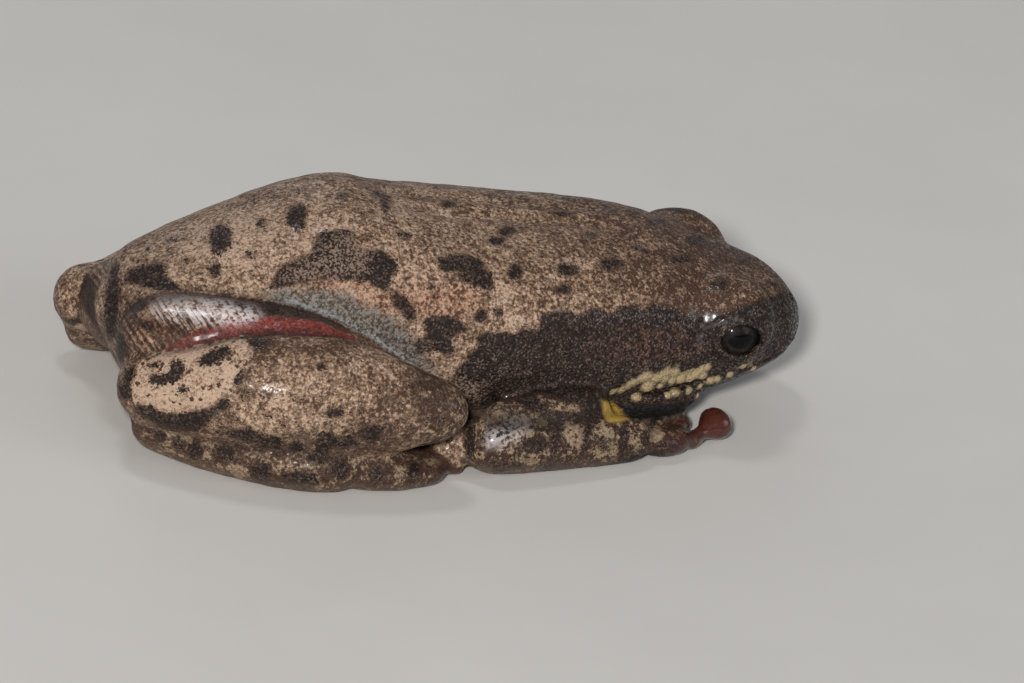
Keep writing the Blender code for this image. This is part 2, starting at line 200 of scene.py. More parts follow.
limbSettings = {
    # as if on the right: x, y, z, half width, half height
    "right": {
        "thigh": [
            (-15.4, -2.3, 4.05, 2.0, 2.1),
            (-13.6, -3.3, 4.1, 2.4, 2.35),
            (-11.2, -4.5, 4.25, 2.5, 2.45),
            (-8.0, -5.8, 4.0, 2.4, 2.35),
            (-5.0, -7.1, 3.2, 1.9, 1.85),
            (-2.8, -8.1, 2.8, 1.4, 1.45),
        ],
        "shank": [
            (-15.9, -4.5, 2.85, 1.4, 1.5),
            (-13.4, -5.8, 3.3, 1.8, 1.9),
            (-11.2, -6.7, 3.52, 2.25, 2.52),
            (-9.0, -7.35, 3.54, 2.4, 2.76),
            (-7.0, -7.8, 3.47, 2.4, 2.7),
            (-5.0, -8.3, 3.44, 2.0, 2.12),
            (-3.2, -8.65, 3.4, 1.5, 1.45),
            (-1.7, -8.9, 3.35, 1.1, 1.1),
        ],
        "ankle": [
            (-15.2, -4.8, 1.6, 0.9, 1.0),
            (-13.0, -5.9, 1.15, 1.05, 1.15),
            (-10.9, -7.5, 1.0, 1.15, 1.1),
            (-8.3, -8.8, 1.0, 1.2, 1.1),
            (-6.2, -9.0, 0.9, 1.15, 1.0),
        ],
    },
    "left": {
        "thigh": [
            (-15.0, -1.9, 3.3, 1.9, 1.9),
            (-13.2, -2.8, 3.2, 2.2, 2.1),
            (-10.9, -3.9, 3.4, 2.4, 2.3),
            (-7.8, -5.2, 3.5, 2.3, 2.3),
            (-5.0, -6.4, 3.0, 1.9, 1.85),
            (-2.8, -7.3, 2.7, 1.4, 1.45),
        ],
        "shank": [
            (-15.9, -4.2, 2.9, 1.4, 1.4),
            (-13.6, -4.8, 2.7, 1.6, 1.5),
            (-11.2, -5.6, 2.7, 2.1, 2.05),
            (-9.0, -6.3, 2.8, 2.3, 2.25),
            (-7.0, -6.9, 2.9, 2.3, 2.35),
            (-5.0, -7.4, 3.0, 2.0, 2.0),
            (-3.2, -7.8, 3.1, 1.5, 1.45),
            (-1.7, -8.1, 3.1, 1.1, 1.1),
        ],
        "ankle": [
            (-15.2, -4.3, 1.6, 0.9, 1.0),
            (-13.0, -5.3, 1.15, 1.05, 1.15),
            (-10.9, -6.9, 1.0, 1.15, 1.1),
            (-8.3, -8.4, 1.0, 1.2, 1.1),
            (-6.2, -9.0, 0.9, 1.15, 1.0),
        ],
    },
    "both": {
        "upperArm": [
            (5.6, -5.7, 1.9, 1.0, 1.1),
            (3.4, -6.6, 2.1, 1.15, 1.12),
            (1.2, -7.3, 2.05, 1.12, 1.12),
            (-0.8, -7.8, 1.9, 1.0, 1.05),
        ],
        "forearm": [
            (-1.4, -7.9, 1.4, 1.2, 1.25),
            (0.4, -7.7, 1.4, 1.35, 1.4),
            (2.8, -7.4, 1.25, 1.25, 1.3),
            (5.2, -7.1, 1.05, 1.05, 1.1),
            (7.4, -6.7, 0.85, 0.85, 0.9),
        ],
        "hand": [
            (7.0, -6.7, 0.75, 0.75, 0.7),
            (8.1, -6.4, 0.6, 0.95, 0.65),
            (9.3, -5.9, 0.5, 0.7, 0.55),
        ],
        "foot": [
            (-6.9, -9.0, 0.8, 0.9, 0.85),
            (-5.2, -8.9, 0.7, 1.2, 0.75),
            (-3.4, -8.3, 0.6, 1.35, 0.65),
            (-2.2, -7.8, 0.5, 1.1, 0.55),
        ],
    },
    "sides": 32,
    "rings": 44,
}
digitSettings = {
    # root, knuckle and tip in plan, half width of the digit and of its pad, height of the pad
    "hand": [
        ((8.5, -6.0), (8.25, -5.4), (7.8, -4.55), 0.34, 0.42, 0.42),
        ((8.7, -5.9), (8.78, -5.2), (8.9, -4.3), 0.35, 0.46, 0.42),
        ((8.9, -6.1), (9.2, -5.4), (9.6, -4.3), 0.37, 0.52, 0.45),
        ((9.0, -6.3), (9.65, -5.95), (10.85, -5.15), 0.38, 0.8, 0.74),
    ],
    "foot": [
        ((-4.4, -7.8), (-3.6, -6.6), (-3.0, -5.8), 0.34, 0.42, 0.42),
        ((-3.8, -7.6), (-2.6, -6.3), (-1.4, -5.7), 0.35, 0.46, 0.42),
        ((-3.4, -7.9), (-1.2, -6.4), (1.0, -5.7), 0.36, 0.5, 0.42),
        ((-3.2, -8.3), (-0.6, -6.6), (2.6, -5.9), 0.37, 0.52, 0.42),
        ((-3.6, -8.8), (-2.4, -8.3), (-1.6, -7.9), 0.35, 0.46, 0.42),
    ],
    "height": 0.42,
    "sides": 16,
    "rings": 24,
    "webThick": 0.5,
}
headSettings = {
    "eye": (11.4, -3.4, 4.6),
    "eyeRadius": 1.65,
    "mound": (11.25, -3.25, 4.65),
    "moundRadii": (2.35, 2.12, 2.15),
    "opening": (0.96, 1.3, 0.72),
    "openingShift": 0.16,
    "openingTurn": math.radians(8),
    "nostril": (15.1, -1.15, 4.75),
    "nostrilRadii": (0.26, 0.26, 0.22),
}
skinSettings = {
    "voxel": 0.15,
    "smoothing": 8,
    # the finer mesh of the head: in front of this x, above this height, this far round the eye
    "fineFrom": 6.6,
    "fineAbove": 1.4,
    "fineRound": 2.5,
    "triangles": 192000,
    "lumps": [(0.03, 0.9, 3), (0.02, 0.45, 5)],  # height, size, seed
    # soft flesh between the limbs: the chest beside the throat, and the pit behind the elbow
    "fillers": [((7.6, -3.2, 1.9), (3.2, 2.15, 1.5)), ((-1.6, -7.2, 1.1), (1.0, 0.9, 1.0))],
}


def splineAt(knots, rows, slopes, t):
    # a smooth curve through the rows, straight past both ends
    if t <= 0.0:
        return rows[0] + slopes[0] * t
    if t >= knots[-1]:
        return rows[-1] + slopes[-1] * (t - knots[-1])
    i = int(np.searchsorted(knots, t, side="right")) - 1
    step = knots[i + 1] - knots[i]
    u = (t - knots[i]) / step
    return (
        rows[i] * (2 * u**3 - 3 * u**2 + 1)
        + rows[i + 1] * (3 * u**2 - 2 * u**3)
        + slopes[i] * step * (u**3 - 2 * u**2 + u)
        + slopes[i + 1] * step * (u**3 - u**2)
    )


def capShare(distance, length):
    left = max(0.0, min(1.0, distance / length))
    return math.sqrt(max(0.0, 1.0 - (1.0 - left) ** 2))


def pulledForm(table, sides, rings, blunt=None, upright=False, flip=False):
    # a sphere pulled along the table's middle line; its poles are the two rounded ends
    rows = np.array([row if len(row) == 7 else (*row[:4], row[4], row[4], 2.0) for row in table], float)
    steps = np.linalg.norm(np.diff(rows[:, :3], axis=0), axis=1)
    knots = np.concatenate([[0.0], np.cumsum(steps)])
    slopes = np.gradient(rows, knots, axis=0)
    slopes[0, 3:] = 0.0
    slopes[-1, 3:] = 0.0
    length = knots[-1]
    startBlunt, endBlunt = blunt or (max(rows[0, 3:5]), max(rows[-1, 3:5]))
    bm = bmesh.new()
    bmesh.ops.create_uvsphere(bm, u_segments=sides, v_segments=rings, radius=1.0)
    for vert in bm.verts:
        along = (0.5 - 0.5 * vert.co.z) * length
        angle = math.atan2(vert.co.y, vert.co.x)
        row = splineAt(knots, rows, slopes, along)
        ahead = splineAt(knots, rows, slopes, along + 0.05)
        behind = splineAt(knots, rows, slopes, along - 0.05)
        travel = Vector((1, 0, 0)) if upright else Vector(ahead[:3] - behind[:3]).normalized()
        side = travel.cross(Vector((0, 0, 1))).normalized()
        up = side.cross(travel)
        cap = capShare(along, startBlunt) * capShare(length - along, endBlunt)
        power = 2.0 / row[6]
        across = cap * row[3] * math.copysign(abs(math.cos(angle)) ** power, math.cos(angle))
        height = row[4] if math.sin(angle) > 0 else row[5]
        lift = cap * height * math.copysign(abs(math.sin(angle)) ** power, math.sin(angle))
        vert.co = Vector(row[:3]) + side * across + up * lift
    return turnedOut(bm, flip)


def turnedOut(bm, flip):
    # flip makes the left-hand twin
    if flip:
        bmesh.ops.scale(bm, vec=(1, -1, 1), verts=bm.verts)
    bm.normal_update()
    bmesh.ops.recalc_face_normals(bm, faces=bm.faces)
    bm.normal_update()
    return bm


def ball(centre, radii, turn=0.0, flip=False, sides=32, rings=24):
    bm = bmesh.new()
    bmesh.ops.create_uvsphere(bm, u_segments=sides, v_segments=rings, radius=1.0)
    bmesh.ops.scale(bm, vec=radii, verts=bm.verts)
    bmesh.ops.rotate(bm, matrix=Matrix.Rotation(turn, 3, "Y"), verts=bm.verts)
    bmesh.ops.translate(bm, vec=centre, verts=bm.verts)
    return turnedOut(bm, flip)


def digitRows(root, knuckle, tip, halfWidth, pad, padHeight, height):
    last = Vector(tip) - Vector(knuckle)
    heading = last.normalized()
    neck = Vector(tip) - heading * min(pad * 1.7, last.length * 0.6)
    front = Vector(tip) + heading * pad * 0.9
    return [
        (*root, height + 0.15, halfWidth * 1.1, halfWidth * 1.1),
        (*knuckle, height, halfWidth, halfWidth),
        (*neck, (height + padHeight) / 2, halfWidth * 0.85, halfWidth * 0.9),
        (*tip, padHeight, pad, pad * 0.9),
        (*front, padHeight, pad * 0.75, pad * 0.7),
    ]


def webForm(points, settings, flip):
    bm = bmesh.new()
    low = settings["height"] - settings["webThick"] / 2
    face = bm.faces.new([bm.verts.new((x, y, low)) for x, y in points])
    grown = bmesh.ops.extrude_face_region(bm, geom=[face])
    top = [v for v in grown["geom"] if isinstance(v, bmesh.types.BMVert)]
    bmesh.ops.translate(bm, vec=(0, 0, settings["webThick"]), verts=top)
    bmesh.ops.triangulate(bm, faces=bm.faces)
    return turnedOut(bm, flip)


def joinForms(name, forms):
    whole = bmesh.new()
    for form in forms:
        part = bpy.data.meshes.new("part")
        form.to_mesh(part)
        whole.from_mesh(part)
        bpy.data.meshes.remove(part)
    return placed(name, meshOf(name, whole))


def applied(obj):
    # bakes the modifiers into the mesh
    graph = bpy.context.evaluated_depsgraph_get()
    result = bpy.data.meshes.new_from_object(
        obj.evaluated_get(graph), preserve_all_data_layers=True, depsgraph=graph
    )
    obj.modifiers.clear()
    old = obj.data
    obj.data = result
    bpy.data.meshes.remove(old)
    return obj


def remeshed(obj, voxel):
    remesh = obj.modifiers.new("even", "REMESH")
    remesh.mode = "VOXEL"
    remesh.voxel_size = voxel
    remesh.adaptivity = 0.0
    return applied(obj)


def thinned(obj, most):
    # takes faces away where the surface is flattest, until no more triangles than that are left
    triangles = sum(len(face.vertices) - 2 for face in obj.data.polygons)
    thin = obj.modifiers.new("thin", "DECIMATE")
    thin.ratio = most / triangles
    return applied(obj)


def carved(obj, cutter):
    cut = obj.modifiers.new("carve", "BOOLEAN")
    cut.operation = "DIFFERENCE"
    cut.solver = "MANIFOLD"
    cut.object = cutter
    applied(obj)
    bpy.data.objects.remove(cutter)
    return obj


def limbForms():
    # every limb form by name, for the wrapping and for telling whose surface a point is on
    forms = {}
    sides, rings = limbSettings["sides"], limbSettings["rings"]
    small = (digitSettings["sides"], digitSettings["rings"])
    for side in ("right", "left"):
        flip = side == "left"
        tables = {**limbSettings[side], **limbSettings["both"]}
        for name, rows in tables.items():
            group = [pulledForm(rows, sides, rings, flip=flip)]
            if name in digitSettings:
                for digit in digitSettings[name]:
                    rows = digitRows(*digit, digitSettings["height"])
                    group.append(pulledForm(rows, *small, flip=flip))
            if name == "foot":
                toes = digitSettings["foot"]
                rim = [toes[4][0], *(toe[1] for toe in reversed(toes)), toes[0][0]]
                group.append(webForm(rim, digitSettings, flip))
            forms[name, side] = group
    return forms


def openingCentre():
    x, y, z = headSettings["eye"]
    return Vector((x + headSettings["openingShift"], y - headSettings["eyeRadius"], z))


def headCutters():
    # sockets, the gap between the lids, and nostrils
    forms = []
    socket = headSettings["eyeRadius"] + 0.05
    for flip in (False, True):
        forms.append(ball(headSettings["eye"], (socket,) * 3, flip=flip))
        forms.append(ball(openingCentre(), headSettings["opening"], headSettings["openingTurn"], flip))
        forms.append(ball(headSettings["nostril"], headSettings["nostrilRadii"], flip=flip))
    return forms


def treeOf(forms):
    whole = joinForms("owner", forms)
    tree, points = surfaceTree(whole.data), pointsOf(whole.data)
    bpy.data.objects.remove(whole)
    return tree, points.min(axis=0), points.max(axis=0)


def wholeSkin():
    limbs = limbForms()
    trunk = pulledForm(
        bodySettings["rows"], bodySettings["sides"], bodySettings["rings"], bodySettings["blunt"], True
    )
    mounds = [ball(headSettings["mound"], headSettings["moundRadii"], flip=flip) for flip in (False, True)]
    for centre, radii in skinSettings["fillers"]:
        mounds.extend(ball(centre, radii, flip=flip) for flip in (False, True))
    owners = {"trunk": treeOf([trunk, *mounds])}
    for (name, side), group in limbs.items():
        owners[f"{name}.{side}"] = treeOf(group)
    forms = [trunk, *mounds, *(form for group in limbs.values() for form in group)]
    skin = joinForms("frogSkin", forms)
    remeshed(skin, skinSettings["voxel"])
    for cutter in headCutters():
        carved(skin, joinForms("cutter", [cutter]))
    remeshed(skin, skinSettings["voxel"])
    return skin, owners


lipSettings = {
    # the mouth line: where it starts, its height there and its rise; then half the height of the lips
    "start": 7.7,
    "height": 2.3,
    "rise": 0.1075,
    "half": 0.85,
    "front": 12.0,  # what x and the distance from the middle add up to where the lips begin
}


def mouthHeight(x):
    return lipSettings["height"] + (x - lipSettings["start"]) * lipSettings["rise"]


def isLip(place, inset=0.12):
    high = abs(place.z - mouthHeight(place.x)) < lipSettings["half"] - inset
    front = abs(place.y) + place.x > lipSettings["front"] + inset
    return high and front and place.x > skinSettings["fineFrom"] + inset


def isFine(place):
    if place.x < skinSettings["fineFrom"] or place.z < skinSettings["fineAbove"]:
        return False
    fromEye = Vector((place.x, -abs(place.y), place.z)) - Vector(headSettings["eye"])
    return fromEye.length < skinSettings["fineRound"] or isLip(place, 0.0)


def finerHead(skin):
    # faces round the eyes and lips are halved each way, those of the warty lips once more
    bm = bmesh.new()
    bm.from_mesh(skin.data)
    for chosen in (isFine, isLip):
        faces = [f for f in bm.faces if chosen(f.calc_center_median())]
        edges = list({edge for face in faces for edge in face.edges})
        bmesh.ops.subdivide_edges(bm, edges=edges, cuts=1, use_grid_fill=True)
    bm.normal_update()
    bm.to_mesh(skin.data)
    bm.free()


skin, owners = wholeSkin()
print("skin wrapped:", len(skin.data.polygons), "faces")

# Modelling the skin: folds where limbs press together, lids, lips, warts and creases.


def neighbourMean(points, edges):
    # close neighbours count for more, so nothing is pulled across where the mesh gets finer
    count = len(points)
    pull = 1 / (np.linalg.norm(points[edges[:, 0]] - points[edges[:, 1]], axis=1) + 0.01)
    share = np.bincount(edges[:, 0], pull, count) + np.bincount(edges[:, 1], pull, count)
    total = np.empty_like(points)
    for k in range(3):
        total[:, k] = np.bincount(edges[:, 0], points[edges[:, 1], k] * pull, count)
        total[:, k] += np.bincount(edges[:, 1], points[edges[:, 0], k] * pull, count)
    return total / np.maximum(share, 1e-9)[:, None]


def relaxed(points, edges, rounds, weight):
    # evens the surface out without shrinking it
    for _ in range(rounds):
        for factor in (0.55, -0.57):
            moved = neighbourMean(points, edges) - points
            points = points + factor * weight[:, None] * moved
    return points


def melted(points, edges, rounds, weight):
    # fills the angle where two forms grow out of each other
    for _ in range(rounds):
        points = points + 0.5 * weight[:, None] * (neighbourMean(points, edges) - points)
    return points


def smoothStep(low, high, value):
    t = np.clip((value - low) / (high - low), 0, 1)
    return t * t * (3 - 2 * t)


def bellOver(distance, width):
    return np.exp(-((distance / width) ** 2))


def distancesTo(points, owner):
    # signed: positive outside the form, 9 where it is far away
    tree, low, high = owner
    near = np.all((points > low - 2.0) & (points < high + 2.0), axis=1)
    out = np.full(len(points), 9.0)
    for i in np.nonzero(near)[0]:
        point = Vector(points[i])
        place, normal, _, far = tree.find_nearest(point)
        out[i] = far if (point - place).dot(normal) > 0 else -far
    return out


def roughNoise(points, size, seed):
    shift = Vector((seed * 17.3, seed * 5.1, -seed * 9.7))
    return np.array([noise.noise(Vector(p) / size + shift) for p in points])


def nearSide(points):
    # every point as if it were on the right-hand side
    turned = points.copy()
    turned[:, 1] = -np.abs(turned[:, 1])
    return turned


foldSettings = {
    "pairs": [
        ("shank", "thigh", 0.2),
        ("shank", "ankle", 0.15),
        ("shank", "foot", 0.15),
        ("shank", "trunk", 0.2),
        ("thigh", "trunk", 0.18),
        ("thigh", "ankle", 0.15),
        ("foot", "trunk", 0.15),
        ("forearm", "upperArm", 0.16),
        ("forearm", "trunk", 0.2),
        ("upperArm", "trunk", 0.16),
        ("hand", "trunk", 0.15),
        ("shank", "forearm", 0.2),
    ],
    "width": 0.2,
    # where the skin runs on smoothly from form to form: a point as if on the right, and how far
    "joins": [
        ((-15.4, -4.8, 2.0), 1.7),
        ((-1.6, -7.9, 1.7), 1.3),
        ((7.6, -6.6, 0.7), 1.0),
        ((8.5, -6.1, 0.5), 0.6),
        ((-6.0, -9.0, 0.8), 1.3),
        ((-3.4, -8.0, 0.5), 1.4),
        ((-14.2, -2.8, 4.4), 2.2),
        ((-15.0, -2.4, 3.6), 2.0),
        ((5.8, -5.6, 2.2), 1.1),
        ((10.0, -4.6, 4.8), 1.6),
        ((11.4, -2.6, 6.2), 1.7),
        ((13.2, -3.4, 4.4), 1.4),
    ],
    "meltRounds": 26,
    # the flank's edge rolls over the thigh: how high, how far from it, how wide, from what height on
    "rim": 0.13,
    "rimAway": 0.32,
    "rimWidth": 0.24,
    "rimFrom": 3.0,
}


def joinShare(near):
    # how far into a smooth join each point lies, 0 to 1
    share = np.zeros(len(near))
    for place, reach in foldSettings["joins"]:
        share = np.maximum(share, np.exp(-((np.linalg.norm(near - place, axis=1) / reach) ** 4)))
    return share


def foldSkin(points, normals, far):
    # returns the moved points and how deep in a fold each one is, 0 to 1; the depth is later painted as shade
    joined = joinShare(nearSide(points))
    push = np.zeros(len(points))
    fold = np.zeros(len(points))
    for side in ("right", "left"):
        for first, second, depth in foldSettings["pairs"]:
            a = far[f"{first}.{side}"]
            b = far["trunk"] if second == "trunk" else far[f"{second}.{side}"]
            gap = np.abs(a) + np.abs(b)
            here = bellOver(gap, foldSettings["width"]) * (1 - joined)
            push = np.maximum(push, depth * here)
            fold = np.maximum(fold, here)
        thigh = far[f"thigh.{side}"]
        onTrunk = (np.abs(far["trunk"]) < 0.2) & (thigh > 0) & (points[:, 2] > foldSettings["rimFrom"])
        rim = bellOver(thigh - foldSettings["rimAway"], foldSettings["rimWidth"]) * onTrunk * (1 - joined)
        push -= foldSettings["rim"] * rim
    return points - normals * push[:, None], fold


def meltJoins(points, edges):
    near = nearSide(points)
    eye = np.linalg.norm(near - headSettings["eye"], axis=1)
    outside = smoothStep(headSettings["eyeRadius"] + 0.35, headSettings["eyeRadius"] + 0.9, eye)
    return melted(points, edges, foldSettings["meltRounds"], joinShare(near) * outside)


creaseSettings = {
    # lines in the picture, how deep in millimetres, how wide; a minus depth raises a ridge
    "lines": [
        ([(412, 206), (440, 213), (480, 216), (530, 219), (575, 221), (612, 229)], 0.16, 0.2),
        ([(430, 199), (470, 205), (520, 209), (570, 211), (610, 217), (650, 232)], -0.14, 0.35),
        ([(316, 176), (342, 180), (372, 190), (398, 204)], 0.07, 0.3),
    ],
}


def lineDistance(spots, line):
    # millimetres from picture points to a drawn line
    nearest = np.full(len(spots), 1e9)
    for start, end in zip(line[:-1], line[1:]):
        start, edge = np.array(start, float), np.array(end, float) - np.array(start, float)
        t = np.clip(((spots - start) @ edge) / (edge @ edge), 0, 1)
        nearest = np.minimum(nearest, np.linalg.norm(spots - start - t[:, None] * edge, axis=1))
    return nearest / cameraSettings["scale"]


def creaseBack(points, normals):
    spots = pictureOf(nearSide(points))
    up = smoothStep(0.15, 0.5, normals[:, 2])
    push = np.zeros(len(points))
    for line, depth, width in creaseSettings["lines"]:
        push += depth * bellOver(lineDistance(spots, line), width) * up
    return points - normals * push[:, None]


lidSettings = {
    "rim": 0.08,
    "rimAway": 0.14,
    "rimWidth": 0.16,
    "fold": 0.07,
    "foldAway": 0.5,
    "foldWidth": 0.12,
    "outerSide": 0.55,  # how far outside the eye's middle the lids count
}


def openingDistance(points):
    # how far outside the lids' opening, in millimetres
    near = nearSide(points)
    turn = Matrix.Rotation(-headSettings["openingTurn"], 3, "Y")
    offset = (near - np.array(openingCentre())) @ np.array(turn).T
    radii = headSettings["opening"]
    size = np.sqrt((offset[:, 0] / radii[0]) ** 2 + (offset[:, 2] / radii[2]) ** 2) + 1e-9
    away = np.hypot(offset[:, 0], offset[:, 2]) * (1 - 1 / size)
    facing = near[:, 1] < headSettings["eye"][1] - lidSettings["outerSide"]
    return np.where(facing, away, 9.0)


def shapeLids(points, normals):
    away = openingDistance(points)
    eye = np.linalg.norm(nearSide(points) - headSettings["eye"], axis=1)
    outside = eye > headSettings["eyeRadius"] + 0.12
    rim = lidSettings["rim"] * bellOver(away - lidSettings["rimAway"], lidSettings["rimWidth"])
    fold = lidSettings["fold"] * bellOver(away - lidSettings["foldAway"], lidSettings["foldWidth"])
    near = nearSide(points) - np.array(openingCentre())
    fold *= 0.25 + 0.75 * smoothStep(0.5, -0.6, near[:, 0])  # the folds fade towards the snout
    return points + normals * ((rim - fold) * outside)[:, None]


mouthSettings = {"depth": 0.3, "width": 0.11, "lip": 0.08, "lipAway": 0.24, "lipWidth": 0.22, "corner": 7.0}
wartSettings = {
    # in the picture: place, radius in picture points
    "lip": [
        (606, 394, 3.6), (613, 392, 3.2), (621, 390.5, 3.8), (628, 386, 4.2), (633, 383, 3.8),
        (640, 379, 4.0), (647, 377, 5.2), (655, 379, 3.6), (659, 377, 4.6), (667, 372.5, 4.2),
        (665, 379, 3.8), (675, 372, 4.4), (681, 379, 4.6), (672, 381, 3.4), (690, 378, 4.2),
        (696, 374, 4.6), (701, 370, 4.2), (707, 367.5, 3.6), (703, 376, 4.0), (647, 387, 5.4),
        (636, 396, 4.4), (675, 391.5, 4.2), (668, 395, 3.2), (689, 391, 3.6), (700, 387, 3.2),
        (711, 381, 4.6), (717, 380, 3.8), (730, 375, 3.4), (743, 366, 3.8), (753, 369, 3.2),
        (660, 386, 2.6), (720, 386, 2.8), (728, 382, 2.6), (697, 396, 2.8),
    ],
    "size": 1.15,
    "height": 0.46,  # share of the radius
}


def mouthGroove(points, normals):
    near = nearSide(points)
    line = near[:, 2] - mouthHeight(near[:, 0])
    front = smoothStep(mouthSettings["corner"] - 0.4, mouthSettings["corner"] + 0.8, near[:, 0])
    outer = smoothStep(0.3, 0.8, 1 - np.abs(normals[:, 2]))
    away = np.linalg.norm(near - headSettings["eye"], axis=1) > headSettings["eyeRadius"] + 0.2
    groove = mouthSettings["depth"] * bellOver(line, mouthSettings["width"])
    lips = bellOver(np.abs(line) - mouthSettings["lipAway"], mouthSettings["lipWidth"]) * mouthSettings["lip"]
    return points - normals * ((groove - lips) * front * outer * away)[:, None]


def wartPlaces(skin):
    # the warts seen on the right-hand lip, found on the skin, and their twins a little moved
    tree = surfaceTree(skin.data)
    places = []
    for i, (x, y, radius) in enumerate(wartSettings["lip"]):
        start, aim = sightLine((x, y))
        hit = tree.ray_cast(start, aim)[0]
        if hit is None or hit.x < 5.5:
            continue
        size = radius * wartSettings["size"] / cameraSettings["scale"]
        places.append((hit, size))
        twin = Vector((hit.x + 0.12 * math.sin(i * 2.3), -hit.y, hit.z + 0.1 * math.cos(i * 1.7)))
        spot = tree.find_nearest(twin)[0]
        places.append((spot, size * (1 + 0.2 * math.sin(i * 3.1))))
    return places


def raiseWarts(points, normals, places):
    wart = np.zeros(len(points))
    lift = np.zeros(len(points))
    for place, size in places:
        near = np.linalg.norm(points - np.array(place), axis=1) / size
        dome = np.clip(1 - near**2, 0, 1) ** 0.75
        lift = np.maximum(lift, dome * size * wartSettings["height"])
        wart = np.maximum(wart, 1 - smoothStep(0.85, 1.3, near))
    return points + normals * lift[:, None], wart


def settleOnFloor(points):
    points[:, 2] = np.maximum(points[:, 2], 0.0)
    return points


def keepInBox(points):
    low, high = (np.array(corner) / mm for corner in cadBox)
    spare = (high - low) * 0.01
    return np.clip(points, low - spare, high + spare)


def smoothSkin(skin, owners):
    mesh = skin.data
    edges = edgesOf(mesh)
    points = pointsOf(mesh)
    ends = [distancesTo(points, owners[n]) for n in owners if n.startswith(("hand", "foot"))]
    weight = 0.4 + 0.6 * smoothStep(0.1, 0.8, np.minimum.reduce(ends))
    points = relaxed(points, edges, skinSettings["smoothing"], weight)
    setPoints(mesh, meltJoins(points, edges))


def shapeSkin(skin, owners):
    mesh = skin.data
    edges = edgesOf(mesh)
    points = pointsOf(mesh)
    far = {name: distancesTo(points, owner) for name, owner in owners.items()}
    points, fold = foldSkin(points, normalsOf(mesh), far)
    points = relaxed(points, edges, 2, np.ones(len(points)))
    setPoints(mesh, points)
    points = creaseBack(points, normalsOf(mesh))
    points = shapeLids(points, normalsOf(mesh))
    setPoints(mesh, points)
    points = mouthGroove(points, normalsOf(mesh))
    setPoints(mesh, points)
    points, wart = raiseWarts(points, normalsOf(mesh), wartPlaces(skin))
    lumps = sum(height * roughNoise(points, size, seed) for height, size, seed in skinSettings["lumps"])
    lumps *= 1 - 0.65 * smoothStep(11.5, 14.0, points[:, 0])  # lower on the snout
    points = points + normalsOf(mesh) * lumps[:, None]
    setPoints(mesh, keepInBox(settleOnFloor(points)))
    return far, fold, wart


smoothSkin(skin, owners)
finerHead(skin)
farFrom, foldShadeDepth, wartShare = shapeSkin(skin, owners)
print("skin shaped:", len(skin.data.polygons), "faces")

# The markings: outlines given in picture points, laid on the side that the camera sees.


def oval(x, y, wide, high, turn=0.0):
    spots = []
    lean = math.radians(turn)
    for k in range(12):
        across, down = wide * math.cos(k * math.pi / 6), high * math.sin(k * math.pi / 6)
        spots.append(
            (
                x + across * math.cos(lean) - down * math.sin(lean),
                y + across * math.sin(lean) + down * math.cos(lean),
            )
        )
    return spots


